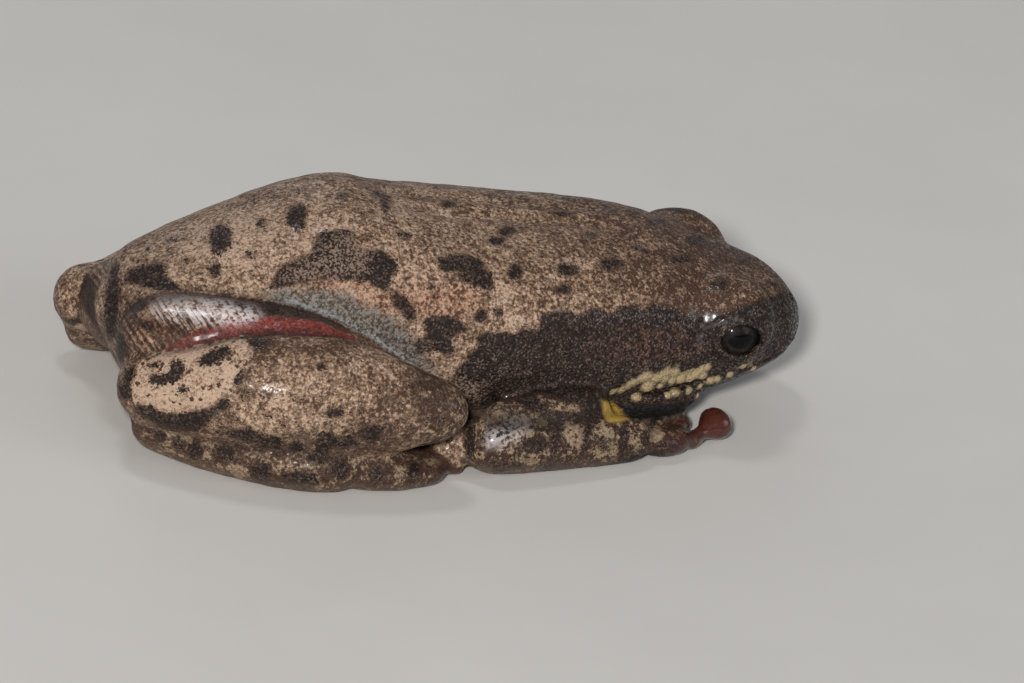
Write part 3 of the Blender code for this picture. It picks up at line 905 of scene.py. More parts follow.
trunkMarks = {
    "dark": [
        [(211, 230), (219, 224.5), (226, 226), (232.5, 232.5), (231, 242.5), (227.5, 251), (220, 254),
         (214, 251), (210, 242.5)],
        [(292.5, 205), (304, 206), (306, 215), (304, 227.5), (295, 230.5), (287.5, 225), (287, 215)],
        [(130, 270), (145, 265), (161, 262.5), (167.5, 265), (166, 275), (171, 282.5), (182.5, 289),
         (176, 292.5), (157.5, 291), (135, 285), (125, 282.5)],
        [(267, 291), (275, 277.5), (282.5, 267.5), (295, 260), (311, 254), (317.5, 242.5), (312.5, 237.5),
         (322.5, 230), (332.5, 231), (354, 230), (356, 240), (356, 252.5), (366, 250), (380, 251),
         (389, 255), (397.5, 264), (396, 272.5), (390, 277.5), (390, 287.5), (385, 290), (375, 287),
         (366, 282), (345, 280), (320, 278), (302, 282), (287, 287), (272, 292)],
        [(391, 294), (400, 291), (408, 298), (415, 310), (416, 318), (408, 322), (400, 312), (394, 304)],
        [(437.5, 259), (450, 255), (466, 254), (475, 257.5), (482.5, 265), (492.5, 276), (492.5, 287.5),
         (485, 289), (472.5, 286), (460, 281), (460, 275), (465, 270), (447.5, 272.5), (440, 269)],
        [(467.5, 360), (469, 355), (475, 350), (480, 345), (477.5, 337.5), (486, 332.5), (500, 331),
         (510, 334), (517.5, 335), (520, 330), (530, 329), (536, 330), (540, 327.5), (541, 317.5),
         (550, 314), (560, 311), (572.5, 314), (580, 315), (586, 312.5), (595, 309), (602.5, 310),
         (607.5, 315), (615, 312.5), (622.5, 307.5), (635, 305), (645, 309), (655, 305), (662.5, 304),
         (670, 306), (677.5, 310), (687.5, 314), (700, 316), (712, 317), (727, 312), (747, 305),
         (770, 298), (788, 291), (804, 299), (808, 325), (796, 345), (775, 362), (745, 378), (715, 392),
         (690, 405), (655, 408), (625, 407), (604, 402), (596, 396), (575, 391), (555, 386),
         (530, 395), (500, 407), (480, 412), (462, 402), (448, 385), (455, 372)],
        oval(215, 270, 6, 6), oval(251, 274, 2.6, 2.6), oval(515, 272, 6.5, 8),
        oval(568, 270, 11, 5, 8), oval(561, 290, 10, 4), oval(430, 286, 4, 4),
        oval(435, 296.5, 3.5, 3), oval(481, 316, 6.5, 6.5), oval(499, 312, 3, 5.5),
        [(424, 322), (440, 315), (458, 322), (468, 330), (450, 340), (455, 352), (448, 358), (438, 350),
         (428, 340)],
        oval(497, 241, 7.5, 5), oval(507, 231.5, 8, 4.5), oval(112, 300, 7, 40, 4),
    ],
    "faint": [
        oval(262, 224, 9, 10), oval(185, 261, 9, 4.5), oval(176, 239, 14, 5.5), oval(148, 249, 5, 5),
        oval(195, 272, 4, 3), oval(251, 255, 11, 7), oval(610, 265, 17, 10), oval(448, 204, 12, 7),
        oval(612, 212, 7, 4), oval(604, 287, 5, 5), oval(669, 281, 5, 5), oval(300, 190, 13, 4),
        [(362, 186), (378, 187), (392, 195), (396, 203), (388, 218), (382, 215), (376, 200), (366, 195)],
        oval(343, 196, 9, 5), oval(560, 214, 20, 5), oval(640, 250, 14, 6, 20), oval(590, 235, 12, 5),
        oval(680, 260, 12, 8), oval(700, 240, 16, 9), oval(405, 235, 12, 5, 15), oval(232, 268, 5, 7),
        oval(540, 256, 10, 5), oval(340, 330, 30, 16, 30), oval(425, 345, 14, 12), oval(655, 222, 12, 5),
        oval(720, 285, 13, 8), oval(745, 262, 12, 7), oval(770, 285, 9, 5), oval(730, 240, 10, 6),
    ],
    "lighter": [oval(326, 266, 46, 18, -14), oval(345, 256, 26, 24), oval(462, 390, 22, 14)],
    "pale": [oval(215, 258, 82, 36, -22), oval(300, 225, 70, 30, -10), oval(462, 350, 14, 20, 20)],
    "warm": [oval(440, 300, 42, 14), oval(376, 299, 20, 10, 20), oval(338, 284, 34, 5, 4),
             oval(650, 344, 62, 20, -4)],
    "cream": [[(604, 392), (620, 386), (632, 379), (645, 373), (655, 372), (665, 368), (680, 371), (692, 368),
               (705, 364), (712, 362), (706, 371), (700, 378), (688, 380), (676, 379), (660, 381),
               (652, 389), (643, 386), (630, 388), (618, 393), (606, 395)],
              oval(745, 366, 11, 3.5, -18), oval(714, 381, 9, 4, -12), oval(636, 397, 5, 2.5),
              oval(670, 393, 9, 3, -8)],
    "blue": [[(258, 291), (285, 290), (310, 288), (335, 291), (358, 299), (380, 311), (402, 325), (422, 346),
              (438, 372), (430, 376), (397, 358), (359, 342), (328, 320), (295, 305)]],
    # the throat: partly its own dusky colour, partly painted shade under the jaw
    "throat": [[(604, 403), (640, 406), (690, 403), (712, 402), (718, 406), (700, 426), (650, 436),
                (622, 424), (612, 412)]],
    "yellow": [[(600, 400), (612, 402), (620, 410), (629, 420), (620, 424), (600, 426)]],
    "blush": [oval(577, 382, 13, 7)],
    "lid": [oval(708, 314, 19, 8)],
    "lidStreak": [oval(718, 324, 20, 2.6, -18), oval(737, 320, 8, 2.2, -6), oval(700, 340, 2.4, 8, 12)],
}
thighMarks = {
    "dark": [
        [(150, 297), (200, 297), (262, 297), (298, 304), (330, 318), (352, 335), (340, 333), (325, 323),
         (300, 318), (270, 315), (245, 309), (200, 302), (150, 302)],
        oval(114, 338, 10, 26, -26), oval(147, 325, 7, 5), oval(135, 303, 14, 8),
    ],
    "rose": [
        [(158, 354), (168, 347), (182, 338), (197, 330), (212, 325), (230, 320), (250, 317), (275, 316),
         (300, 318), (325, 323), (345, 332), (358, 340), (352, 348), (320, 348), (290, 348), (255, 348),
         (230, 349), (200, 354), (172, 361)],
    ],
    # the wide pale oval below the crease lies under the wet gloss: partly paler skin, partly a painted
    # highlight
    "pale": [oval(146, 344, 14, 16), oval(190, 313, 52, 13, 2)],
}
shankMarks = {
    "pale": [
        [(134, 375), (130, 395), (132.5, 405), (150, 404), (162.5, 411), (180, 412.5), (197.5, 411),
         (212.5, 402.5), (222.5, 395), (232.5, 387.5), (235, 377.5), (245, 367.5), (250, 357.5),
         (255, 347.5), (252.5, 335), (237.5, 330), (225, 332), (212.5, 337), (197.5, 342), (180, 348),
         (165, 351), (150, 357), (137.5, 364)],
    ],
    "dark": [
        [(172, 358), (183, 362), (185, 372), (181, 380), (170, 382), (160, 384), (149, 382), (148, 376),
         (160, 374), (168, 374), (170, 366)],
        [(196, 362), (205, 354), (216, 348), (226, 346), (233, 353), (225, 358), (214, 364), (203, 365)],
        [(239, 337), (262, 336), (270, 342), (264, 352), (255, 351), (248, 343)],
        [(120, 385), (126, 370), (134, 366), (136, 378), (130, 384), (130, 398), (124, 400), (120, 395)],
        [(132, 405), (152, 405), (160, 413), (180, 414), (200, 411), (212, 409), (222, 400), (232, 396),
         (228, 408), (212, 420), (204, 428), (190, 433), (172, 431), (155, 425), (138, 414)],
        oval(154, 365, 6, 4), oval(183, 391, 6, 3), oval(217.5, 384, 2.5, 3), oval(334, 413, 8, 5),
        oval(322, 367, 4, 4), oval(240, 378, 4, 9, 20),
        [(222, 428), (238, 430), (250, 427), (262, 436), (276, 438), (286, 444), (280, 450), (262, 448),
         (246, 441), (232, 438)],
        [(288, 446), (296, 440), (302, 446), (304, 456), (296, 460), (288, 454)],
        [(316, 436), (328, 432), (340, 440), (352, 436), (358, 444), (344, 450), (334, 446), (328, 456),
         (316, 454)],
        [(362, 430), (372, 424), (384, 428), (380, 438), (370, 442), (362, 438)],
    ],
    "faint": [
        oval(245, 395, 10, 12), oval(280, 380, 12, 9), oval(300, 400, 12, 7), oval(356, 385, 12, 8),
        oval(390, 400, 12, 10), oval(420, 385, 14, 10), oval(440, 420, 12, 10), oval(270, 415, 14, 8),
        oval(230, 420, 14, 8), oval(360, 410, 10, 8), oval(375, 358, 14, 6, 15), oval(340, 350, 12, 5),
        oval(239, 435, 14, 8, 15), oval(260, 449, 9, 7), oval(295, 455, 9, 7), oval(303, 437, 11, 8),
        oval(348, 456, 14, 6), oval(394, 440, 10, 7), oval(371, 436, 16, 9, -15), oval(406, 374, 10, 6, 20),
        oval(445, 398, 7, 10), oval(414, 398, 9, 6), oval(425, 420, 10, 7), oval(256, 360, 8, 6),
        oval(283, 425, 10, 7), oval(292, 348, 14, 5), oval(335, 411, 12, 8), oval(330, 380, 8, 6),
        oval(220, 432, 10, 6), oval(340, 436, 9, 6), oval(410, 428, 8, 6), oval(385, 385, 8, 6),
    ],
    "brown": [oval(300, 350, 60, 10), oval(425, 400, 40, 34)],
}
footMarks = {
    "pale": [
        [(145, 422), (175, 428), (205, 436), (230, 444), (228, 450), (200, 446), (170, 437), (148, 428)],
        [(268, 457), (290, 462), (310, 474), (327, 486), (320, 491), (300, 484), (280, 472), (266, 464)],
        oval(240, 470, 14, 5, 15), oval(360, 478, 12, 5), oval(400, 470, 10, 4), oval(432, 462, 9, 5),
        oval(205, 456, 8, 5, 20),
    ],
    "dark": [
        oval(196, 450, 7, 10), oval(225, 454, 8, 9), oval(261, 474, 10, 11), oval(300, 480, 19, 9, 12),
        oval(178, 444, 5, 8, -20), oval(340, 470, 9, 9), oval(378, 476, 8, 8), oval(415, 470, 7, 8),
        oval(445, 470, 8, 6), oval(160, 436, 6, 5), oval(320, 458, 14, 5),
    ],
    # the brown ovals darken the foot's far end, partly painted shade
    "brown": [oval(400, 474, 75, 16), oval(300, 470, 40, 12)],
}
armMarks = {
    "pale": [
        oval(491, 414, 15, 8), oval(479, 433, 8, 9), oval(480, 456, 6, 5), oval(576, 435, 12, 15),
        oval(604, 440, 14, 20), oval(634, 441, 6, 6), oval(656, 434, 9, 7.5), oval(505, 452, 9, 4),
        oval(528, 462, 10, 4), oval(645, 425, 5, 4), oval(555, 455, 9, 4), oval(520, 436, 18, 6, -25),
        [(535, 395), (550, 397), (565, 401), (583, 407), (585, 414), (570, 413), (555, 412), (545, 405)],
        oval(690, 427, 9, 5),
    ],
    "dark": [
        oval(556, 440, 4, 20, 8), oval(587, 436, 4.5, 17, 8), oval(624, 440, 4, 15, 5), oval(603, 444, 5, 7),
        oval(646, 440, 3, 8), oval(535, 445, 14, 7), oval(500, 432, 14, 8), oval(505, 466, 22, 5),
        [(515, 400), (533, 388), (560, 378), (600, 388), (622, 404), (620, 416), (590, 418), (560, 414),
         (530, 410)],
        oval(672, 446, 16, 6), oval(470, 440, 5, 18), oval(640, 458, 22, 5), oval(560, 466, 26, 4),
    ],
    "yellow": [[(603, 401), (612, 402), (620, 410), (628, 419), (620, 422), (608, 422), (603, 415)]],
    "clear": [[(533, 394), (550, 396), (565, 400), (583, 406), (586, 414), (570, 414), (555, 412),
               (543, 405)], oval(492, 410, 14, 7, -20)],
}


def insideDistance(spots, outline):
    # how far inside the outline each picture point lies, in millimetres; outside it is negative
    corners = np.array(outline, float)
    nearest = np.full(len(spots), 1e9)
    inside = np.zeros(len(spots), bool)
    for a, b in zip(corners, np.roll(corners, -1, axis=0)):
        edge = b - a
        t = np.clip(((spots - a) @ edge) / (edge @ edge), 0, 1)
        nearest = np.minimum(nearest, np.linalg.norm(spots - a - t[:, None] * edge, axis=1))
        if a[1] != b[1]:
            crossing = (a[1] > spots[:, 1]) != (b[1] > spots[:, 1])
            inside ^= crossing & (spots[:, 0] < edge[0] * (spots[:, 1] - a[1]) / edge[1] + a[0])
    return np.where(inside, nearest, -nearest) / cameraSettings["scale"]


def deepest(spots, outlines, limit=1.5):
    # how far inside the outline that holds it best each point is, up to the limit either way
    best = np.full(len(spots), -limit)
    for outline in outlines:
        best = np.maximum(best, insideDistance(spots, outline))
    return np.minimum(best, limit)


farSide = {"bend": 26.0, "bendSize": 3.5, "seeds": (11, 13)}  # bend in picture points, its size in mm


def sidesOf(points, wholeTrunk):
    # where the points and their mirror images fall in the picture, and how much the images count;
    # they are bent a little, so that the two sides aren't twins
    bend = np.stack([roughNoise(points, farSide["bendSize"], seed) for seed in farSide["seeds"]], axis=1)
    bend *= farSide["bend"]
    share = (points[:, 1] > 0).astype(float)
    if wholeTrunk:
        front = smoothStep(9.0, 12.5, points[:, 0])
        share = smoothStep(0, 1, (points[:, 1] - 1.2 * (1 - front) + 0.2) / (2.2 - 1.5 * front))
    return pictureOf(points), pictureOf(points * np.array([1, -1, 1])) + bend, share


def bothSides(sides, outlines):
    direct, mirrored, share = sides
    out = np.zeros(len(share))
    near, distant = share < 1, share > 0
    out[near] += (1 - share[near]) * deepest(direct[near], outlines)
    out[distant] += share[distant] * deepest(mirrored[distant], outlines)
    return out


families = {
    "trunk": trunkMarks, "thigh": thighMarks, "shank": shankMarks, "foot": footMarks, "arm": armMarks
}
familyOf = {"ankle": "foot", "upperArm": "arm", "forearm": "arm", "hand": "arm"}
softEdges = {
    # millimetres over which a drawn patch fades out
    "pale": 0.12, "lighter": 0.5, "warm": 0.5, "blue": 0.5, "rose": 0.14, "yellow": 0.08, "brown": 1.0,
    "cream": 0.12, "throat": 0.1,
}
familyShares = {
    # how strong each look is on each family
    "pale": {"trunk": 0.45, "thigh": 1.0, "shank": 1.6, "foot": 1.0, "arm": 1.0},
    "speck": {"trunk": 0.42, "thigh": 0.5, "shank": 0.5, "foot": 0.55, "arm": 0.6},
    "grain": {"trunk": 0.55, "thigh": 0.25, "shank": 0.45, "foot": 0.35, "arm": 0.45},
}


def ownersOf(far):
    # which family of forms each point belongs to
    nearest = np.argmin(np.abs(np.stack(list(far.values()))), axis=0)
    kinds = [familyOf.get(name.split(".")[0], name.split(".")[0]) for name in far]
    return {
        family: np.isin(nearest, [i for i, kind in enumerate(kinds) if kind == family]) for family in families
    }


def markSkin(skin, far, fold, wart):
    mesh = skin.data
    points, normals = pointsOf(mesh), normalsOf(mesh)
    near = nearSide(points)
    x, y, z = near.T
    spots = pictureOf(near)
    whose = ownersOf(far)
    trunk, thigh, arm = (whose[family] for family in ("trunk", "thigh", "arm"))

    def drawn(low, high, *outlines):
        return smoothStep(low, high, deepest(spots, outlines))

    def byFamily(**shares):
        return sum(share * whose[family] for family, share in shares.items())

    fields = {name: np.zeros(len(points)) for name in ("mark", "wet", "lidPale", *softEdges)}
    for family, marks in families.items():
        here = whose[family]
        sides = sidesOf(points[here], family == "trunk")
        depth = {name: bothSides(sides, outlines) for name, outlines in marks.items()}
        dark = depth["dark"]
        if "faint" in marks:
            hold = 0.16 if family == "trunk" else 0.24  # the greater this is, the more the marks break up
            dark = np.maximum(dark, np.minimum(depth["faint"], 0.2) - hold)
        if "clear" in marks:
            dark = np.minimum(dark, -depth["clear"])
            fields["cream"][here] = 0.35 * smoothStep(-0.1, 0.1, depth["clear"])
        fields["mark"][here] = dark
        for name, soft in softEdges.items():
            if name in marks:
                soft = 0.5 if name == "pale" and family in ("trunk", "thigh") else soft
                fields[name][here] = smoothStep(-soft, soft, depth[name])
        if family == "trunk":
            blush = smoothStep(-0.1, 0.1, depth["blush"])
            fields["pale"][here] = np.maximum(fields["pale"][here], blush)
            fields["throat"][here] *= 1 - fields["yellow"][here]
            fields["yellow"][here] *= smoothStep(-4.0, -4.6, y[here])
            fields["lidPale"][here] = smoothStep(-0.2, 0.12, depth["lidStreak"])
            fields["wet"][here] = smoothStep(-0.2, 0.3, depth["lid"])
    # the folded rim of the flank is bluish; the skin under the frog is pale, and under the head it takes
    # painted shade
    for side in ("right", "left"):
        rim = bellOver(far[f"thigh.{side}"] - 0.22, 0.3) * trunk * (z > 2.6)
        rim *= smoothStep(-10.0, -8.8, x) * (1 - smoothStep(-0.6, 1.4, x))
        fields["blue"] = np.maximum(fields["blue"], 1.4 * rim)
        fields["mark"] -= 0.5 * np.minimum(rim * 1.5, 1)
    under = smoothStep(0.1, 0.75, -normals[:, 2]) * smoothStep(2.6, 1.0, z)
    fields["throat"] = np.maximum(fields["throat"], under * smoothStep(5.0, 7.0, x))
    fields["belly"] = np.maximum(under * np.where(trunk, 1.0, 0.35), fields["throat"])
    onHand, onFoot = (np.minimum(far[f"{end}.right"], far[f"{end}.left"]) < 0.25 for end in ("hand", "foot"))
    handPad = (smoothStep(7.6, 8.8, x) * 0.6 + smoothStep(9.3, 10.1, x) * 0.4) * onHand
    toePad = smoothStep(-3.8, -2.0, x) * onFoot * (z < 1.3)
    fields["pad"] = np.maximum(handPad, toePad * 0.5) * (np.abs(far["trunk"]) > 0.3)
    elbow = drawn(-0.3, 0.3, oval(507, 433, 25, 11, -24)) * arm
    # a painted sheen on the thigh and the elbow, where the skin is also made wet and wrinkled
    fields["glossAndPaintedSheen"] = np.maximum(drawn(-0.35, 0.35, oval(206, 313, 54, 11, 3)) * thigh, elbow * 0.6)
    fields["wet"] = np.maximum(fields["wet"], thigh * 0.2 + 0.8 * fields["glossAndPaintedSheen"])
    fields["wet"] = np.maximum(fields["wet"], fields["pad"])
    # the trunk browns towards the head: partly its own colour, partly painted shade
    fields["brown"] += byFamily(
        trunk=1.1 * smoothStep(1.0, 9.0, x), foot=0.3, thigh=0.9 * (1 - fields["pale"])
    )
    fields["warm"] = np.maximum(fields["warm"], thigh * 0.6)
    # where the skin is blotched brown and cream instead of freckled
    blotched = np.maximum(smoothStep(-5.6, -3.4, x), drawn(-0.2, 0.3, oval(310, 444, 120, 20, -4)))
    fields["blotchy"] = byFamily(arm=1.0, foot=0.75, shank=0.7 * blotched)
    fields["pale"] *= byFamily(**familyShares["pale"])
    speck = byFamily(**familyShares["speck"]) + 0.16 * fields["brown"]
    fields["speck"] = speck * (1 - 0.4 * np.minimum(fields["pale"], 1))
    grain = byFamily(**familyShares["grain"]) + 0.45 * trunk * smoothStep(-0.2, 0.1, fields["mark"])
    fields["grain"] = grain * (1 - fields["pad"]) * (1 - 0.6 * fields["rose"])
    fields["grain"] += 1.4 * drawn(-0.2, 0.3, *trunkMarks["lid"]) * trunk * (y < -2.0)
    # how deep in a fold each point is, painted as shade in the folds
    fields["fold"], fields["wart"] = fold, wart
    # wrinkles of stretched skin run down behind the thigh
    stretched = drawn(-0.6, 0.4, oval(138, 332, 34, 34), oval(178, 325, 40, 14))
    fields["wrinkle"] = stretched * (thigh | trunk) * smoothStep(-9.0, -12.0, x)
    for name, onArm, elsewhere in (
        ("across", (0.5, 0.87), (0.82, -0.57)), ("along", (0.87, -0.5), (0.57, 0.82)),
    ):
        fields[name] = np.where(arm, spots @ onArm, spots @ elsewhere) / cameraSettings["scale"]
    for name, values in fields.items():
        mesh.attributes.new(name, "FLOAT", "POINT").data.foreach_set("value", values.astype(np.float32))
    return list(fields)


fieldNames = markSkin(skin, farFrom, foldShadeDepth, wartShare)
thinned(skin, skinSettings["triangles"])
print("skin marked:", len(skin.data.polygons), "faces")

# Node helpers and shared effects.

bench = {}  # its "tree" is the node tree that the helpers add to


def linear(red, green, blue):
    # a colour picked on a screen, made linear
    def one(value):
        value = value / 255
        return value / 12.92 if value <= 0.04045 else ((value + 0.055) / 1.055) ** 2.4

    return (one(red), one(green), one(blue), 1.0)


def plug(socket, value):
    # links a socket, or sets it to a value or to a skin colour by its name
    if isinstance(value, bpy.types.NodeSocket):
        bench["tree"].links.new(value, socket)
    else:
        socket.default_value = skinColours[value] if isinstance(value, str) else value


def fill(sockets, values):
    for name, value in values.items():
        plug(sockets[name], value)


def addNode(kind, *values, **named):
    node = bench["tree"].nodes.new("ShaderNode" + kind)
    fill(node.inputs, {**dict(enumerate(values)), **named})
    return node


def maths(operation, first, second, clamp=False):
    node = addNode("Math", first, second)
    node.operation = operation
    node.use_clamp = clamp
    return node.outputs[0]


def times(first, second, clamp=False):
    return maths("MULTIPLY", first, second, clamp)


def weighed(start, *parts):
    # start plus each value's distance from its middle times its weight
    total = start
    for value, middle, weight in parts:
        total = maths("ADD", total, times(value, weight))
        if middle:
            total = maths("SUBTRACT", total, middle * weight)
    return total


def layered(base, *layers):
    # each layer over those before it: how much of it shows, and its colour
    for share, tone in layers:
        node = bench["tree"].nodes.new("ShaderNodeMix")
        node.data_type = "RGBA"
        fill(node.inputs, {0: share, 6: base, 7: tone})
        base = node.outputs[2]
    return base


def spread(value, low, high, start=0.0, end=1.0):
    node = addNode("MapRange", value, low, high, start, end)
    node.interpolation_type = "SMOOTHSTEP"
    return node.outputs[0]


def noiseOf(vector, scale, detail=3.0, roughness=0.6):
    return addNode("TexNoise", Vector=vector, Scale=scale, Detail=detail, Roughness=roughness).outputs["Fac"]


def cellsOf(vector, scale):
    return addNode("TexVoronoi", Vector=vector, Scale=scale).outputs


def fieldOf(name):
    node = addNode("Attribute")
    node.attribute_name = name
    return node.outputs["Fac"]


def newGroup(name, inputs, outputs):
    # every socket holds a number, apart from Vector
    group = bpy.data.node_groups.new(name, "ShaderNodeTree")
    for way, labels in (("INPUT", inputs), ("OUTPUT", outputs)):
        for label in labels:
            kind = "NodeSocketVector" if label == "Vector" else "NodeSocketFloat"
            group.interface.new_socket(label, in_out=way, socket_type=kind)
    bench["tree"] = group
    return group, group.nodes.new("NodeGroupInput").outputs, group.nodes.new("NodeGroupOutput").inputs


def useGroup(group, **values):
    node = addNode("Group")
    node.node_tree = group
    fill(node.inputs, values)
    return node.outputs


def newMaterial(name):
    # a material, its shader's sockets, and the place on the object in millimetres
    material = bpy.data.materials.new(name)
    material.use_nodes = True
    bench["tree"] = material.node_tree
    place = addNode("VectorMath", addNode("TexCoord").outputs["Object"], (1000, 1000, 1000))
    place.operation = "MULTIPLY"
    return material, material.node_tree.nodes["Principled BSDF"].inputs, place.outputs[0]


def makeGranules():
    # small packed domes, with two random numbers for each
    group, given, result = newGroup("granules", ["Vector", "Scale"], ["Height", "Cell", "Second"])
    cells = cellsOf(given["Vector"], given["Scale"])
    height = maths("SUBTRACT", 1.0, maths("POWER", cells["Distance"], 2.0))
    split = addNode("SeparateColor", cells["Color"]).outputs
    fill(result, {"Height": height, "Cell": split[0], "Second": split[1]})
    return group


def makeMottle():
    # cloudy patches with ragged edges; Amount is how much of the surface they take
    group, given, result = newGroup("mottle", ["Vector", "Scale", "Amount", "Soft"], ["Mask"])
    cloud = noiseOf(given["Vector"], given["Scale"], 5.0, 0.68)
    edge = maths("SUBTRACT", 0.68, times(given["Amount"], 0.36))
    low, high = maths("SUBTRACT", edge, given["Soft"]), maths("ADD", edge, given["Soft"])
    plug(result["Mask"], spread(cloud, low, high))
    return group


granules = makeGranules()
mottle = makeMottle()

skinColours = {
    "tan": linear(136, 110, 89),
    "pale": linear(192, 165, 143),
    "brown": linear(72, 52, 41),
    "umber": linear(46, 32, 25),
    "paleBlot": linear(160, 138, 112),
    "dark": linear(32, 23, 20),
    "darkGrain": linear(58, 45, 38),
    "grainLight": linear(138, 116, 103),
    "rust": linear(96, 62, 47),
    "warm": linear(182, 138, 112),
    "slate": linear(52, 50, 48),
    "grey": linear(128, 124, 118),
    "rim": linear(150, 156, 158),
    "rose": linear(138, 62, 54),
    "roseDot": linear(58, 32, 30),
    # sheen: the colour of a painted highlight on wet skin
    "glossAndPaintedSheen": linear(226, 216, 217),
    # tip: pale granule tips, partly a painted glint
    "tip": linear(196, 178, 166),
    "belly": linear(150, 130, 114),
    # throat: dusky throat skin and painted shade under the head
    "throat": linear(30, 30, 32),
    "cream": linear(166, 148, 112),
    "wart": linear(156, 138, 112),
    "lidPale": linear(96, 97, 104),
    "red": linear(78, 30, 19),
    "yellow": linear(184, 150, 72),
    # fold: painted shade in the folds
    "fold": linear(34, 26, 23),
}
skinScales = {
    # how many to a millimetre
    "granule": 8.5, "tiny": 14.0, "fine": 6.0, "patch": 1.5, "clouds": 2.4, "broad": 0.45,
    "fleck": 2.6, "pin": 8.0, "across": 7.5, "along": 0.8,
}


def skinMaterial(scales):
    material, shader, place = newMaterial("frogSkin")
    field = {name: fieldOf(name) for name in fieldNames}
    cell = useGroup(granules, Vector=place, Scale=scales["granule"])
    tiny = useGroup(granules, Vector=place, Scale=scales["tiny"])
    fine = noiseOf(place, scales["fine"], 4.0, 0.72)
    patch = noiseOf(place, scales["patch"], 4.0, 0.66)
    clouds = noiseOf(place, scales["clouds"], 5.0, 0.68)
    broad = noiseOf(place, scales["broad"])
    drawnOut = addNode("CombineXYZ", *(times(field[way], scales[way]) for way in ("across", "along")))
    streak = noiseOf(drawnOut.outputs[0], 1.0)

    # ground colour: brown, tan or pale by how the clouds, the grain and the granule add up
    level = weighed(
        0.5, (patch, 0.5, 1.3), (clouds, 0.5, 1.0), (fine, 0.5, 2.0), (cell["Cell"], 0.5, 0.36),
        (broad, 0.5, 1.0), (tiny["Cell"], 0.5, 0.3), (field["pale"], 0.0, 0.24),
        (field["brown"], 0.0, -0.24), (field["speck"], 0.45, -0.35),
    )
    blot = weighed(clouds, (fine, 0.5, 0.45), (field["pale"], 0.0, 0.11), (broad, 0.5, 0.3))
    paleTone = layered("brown", (spread(fine, 0.4, 0.6, 0.45, 1.0), "paleBlot"))
    blotTone = layered("umber", (spread(fine, 0.4, 0.62), "brown"), (spread(blot, 0.53, 0.6), paleTone))
    warmTone = layered("rust", (spread(level, 0.25, 0.6), "warm"))
    freckle = weighed(0.0, (cell["Second"], 0.0, 0.5), (patch, 0.5, 1.1), (field["speck"], 0.45, 0.5))
    fleck = weighed(cellsOf(place, scales["fleck"])["Distance"], (fine, 0.5, 0.9), (broad, 0.5, 0.7))
    greyLevel = weighed(cell["Second"], (fine, 0.5, 1.4), (patch, 0.5, 1.2), (tiny["Cell"], 0.5, 0.7))
    rim = weighed(field["blue"], (fine, 0.5, 0.8), (tiny["Cell"], 0.5, 0.2))
    grey = layered(
        "slate", (spread(greyLevel, 0.15, 1.0), "grey"), (spread(rim, 1.12, 1.45, 0.0, 0.9), "rim")
    )
    bluish = weighed(field["blue"], (fine, 0.5, 1.6), (patch, 0.5, 1.4), (cell["Second"], 0.5, 0.5))
    dusty = weighed(tiny["Cell"], (fine, 0.5, 1.6))
    ground = layered(
        "brown",
        (spread(level, 0.14, 0.46), "tan"),
        (spread(level, 0.48, 0.88), "pale"),
        (field["blotchy"], blotTone),
        (times(field["warm"], 0.65), warmTone),
        (times(spread(freckle, 0.44, 0.52), 0.62), "brown"),
        (times(spread(fleck, 0.24, 0.18), field["pale"], clamp=True), "brown"),
        (spread(bluish, 0.25, 0.85, 0.0, 0.88), grey),
        (spread(dusty, 0.75, 0.1, 0.0, 0.22), "brown"),
    )

    # dark marks: the edge follows the grain
    ragged = weighed(
        field["mark"], (fine, 0.5, 0.6), (clouds, 0.5, 0.7), (cell["Cell"], 0.5, 0.16),
        (tiny["Cell"], 0.5, 0.1),
    )
    marked = spread(ragged, -0.03, 0.03)
    grain = weighed(cell["Second"], (fine, 0.5, 1.2), (field["lighter"], 0.0, 0.45), (patch, 0.5, 0.8))
    grit = weighed(tiny["Second"], (fine, 0.5, 1.3), (field["lighter"], 0.0, 0.35), (patch, 0.5, 0.9))
    gritty = times(weighed(0.3, (field["lighter"], 0.0, 0.6)), spread(grit, 0.7, 1.0))
    inside = layered(
        "dark",
        (spread(grain, 0.45, 1.05), "darkGrain"),
        (times(field["warm"], spread(grain, 0.3, 0.9, 0.0, 0.4)), "rust"),
        (gritty, "grainLight"),
    )
    # pale tips on some of the smallest granules, partly painted glints standing in for sparkles
    paintedGlints = times(spread(tiny["Second"], 0.86, 0.9), field["grain"])
    paintedGlints = times(paintedGlints, spread(tiny["Height"], 0.75, 0.95, 0.0, 0.45))
    paintedGlints = times(paintedGlints, spread(marked, 0.0, 1.0, 1.0, 0.25))
    # thigh flash with pin dots and a few painted sheen spots
    pin = spread(cellsOf(place, scales["pin"])["Distance"], 0.5, 0.26)
    flash = layered(
        "rose",
        (times(pin, 0.75), "roseDot"),
        (spread(clouds, 0.42, 0.66, 0.0, 0.6), "roseDot"),
        (spread(fine, 0.56, 0.68, 0.0, 0.3), "glossAndPaintedSheen"),
    )
    flashEdge = weighed(field["rose"], (fine, 0.5, 0.9), (patch, 0.5, 0.6))
    # painted highlight: wet stretched skin is painted pale between its fine lines
    paintedShine = weighed(streak, (fine, 0.5, 1.0), (patch, 0.5, 0.8))
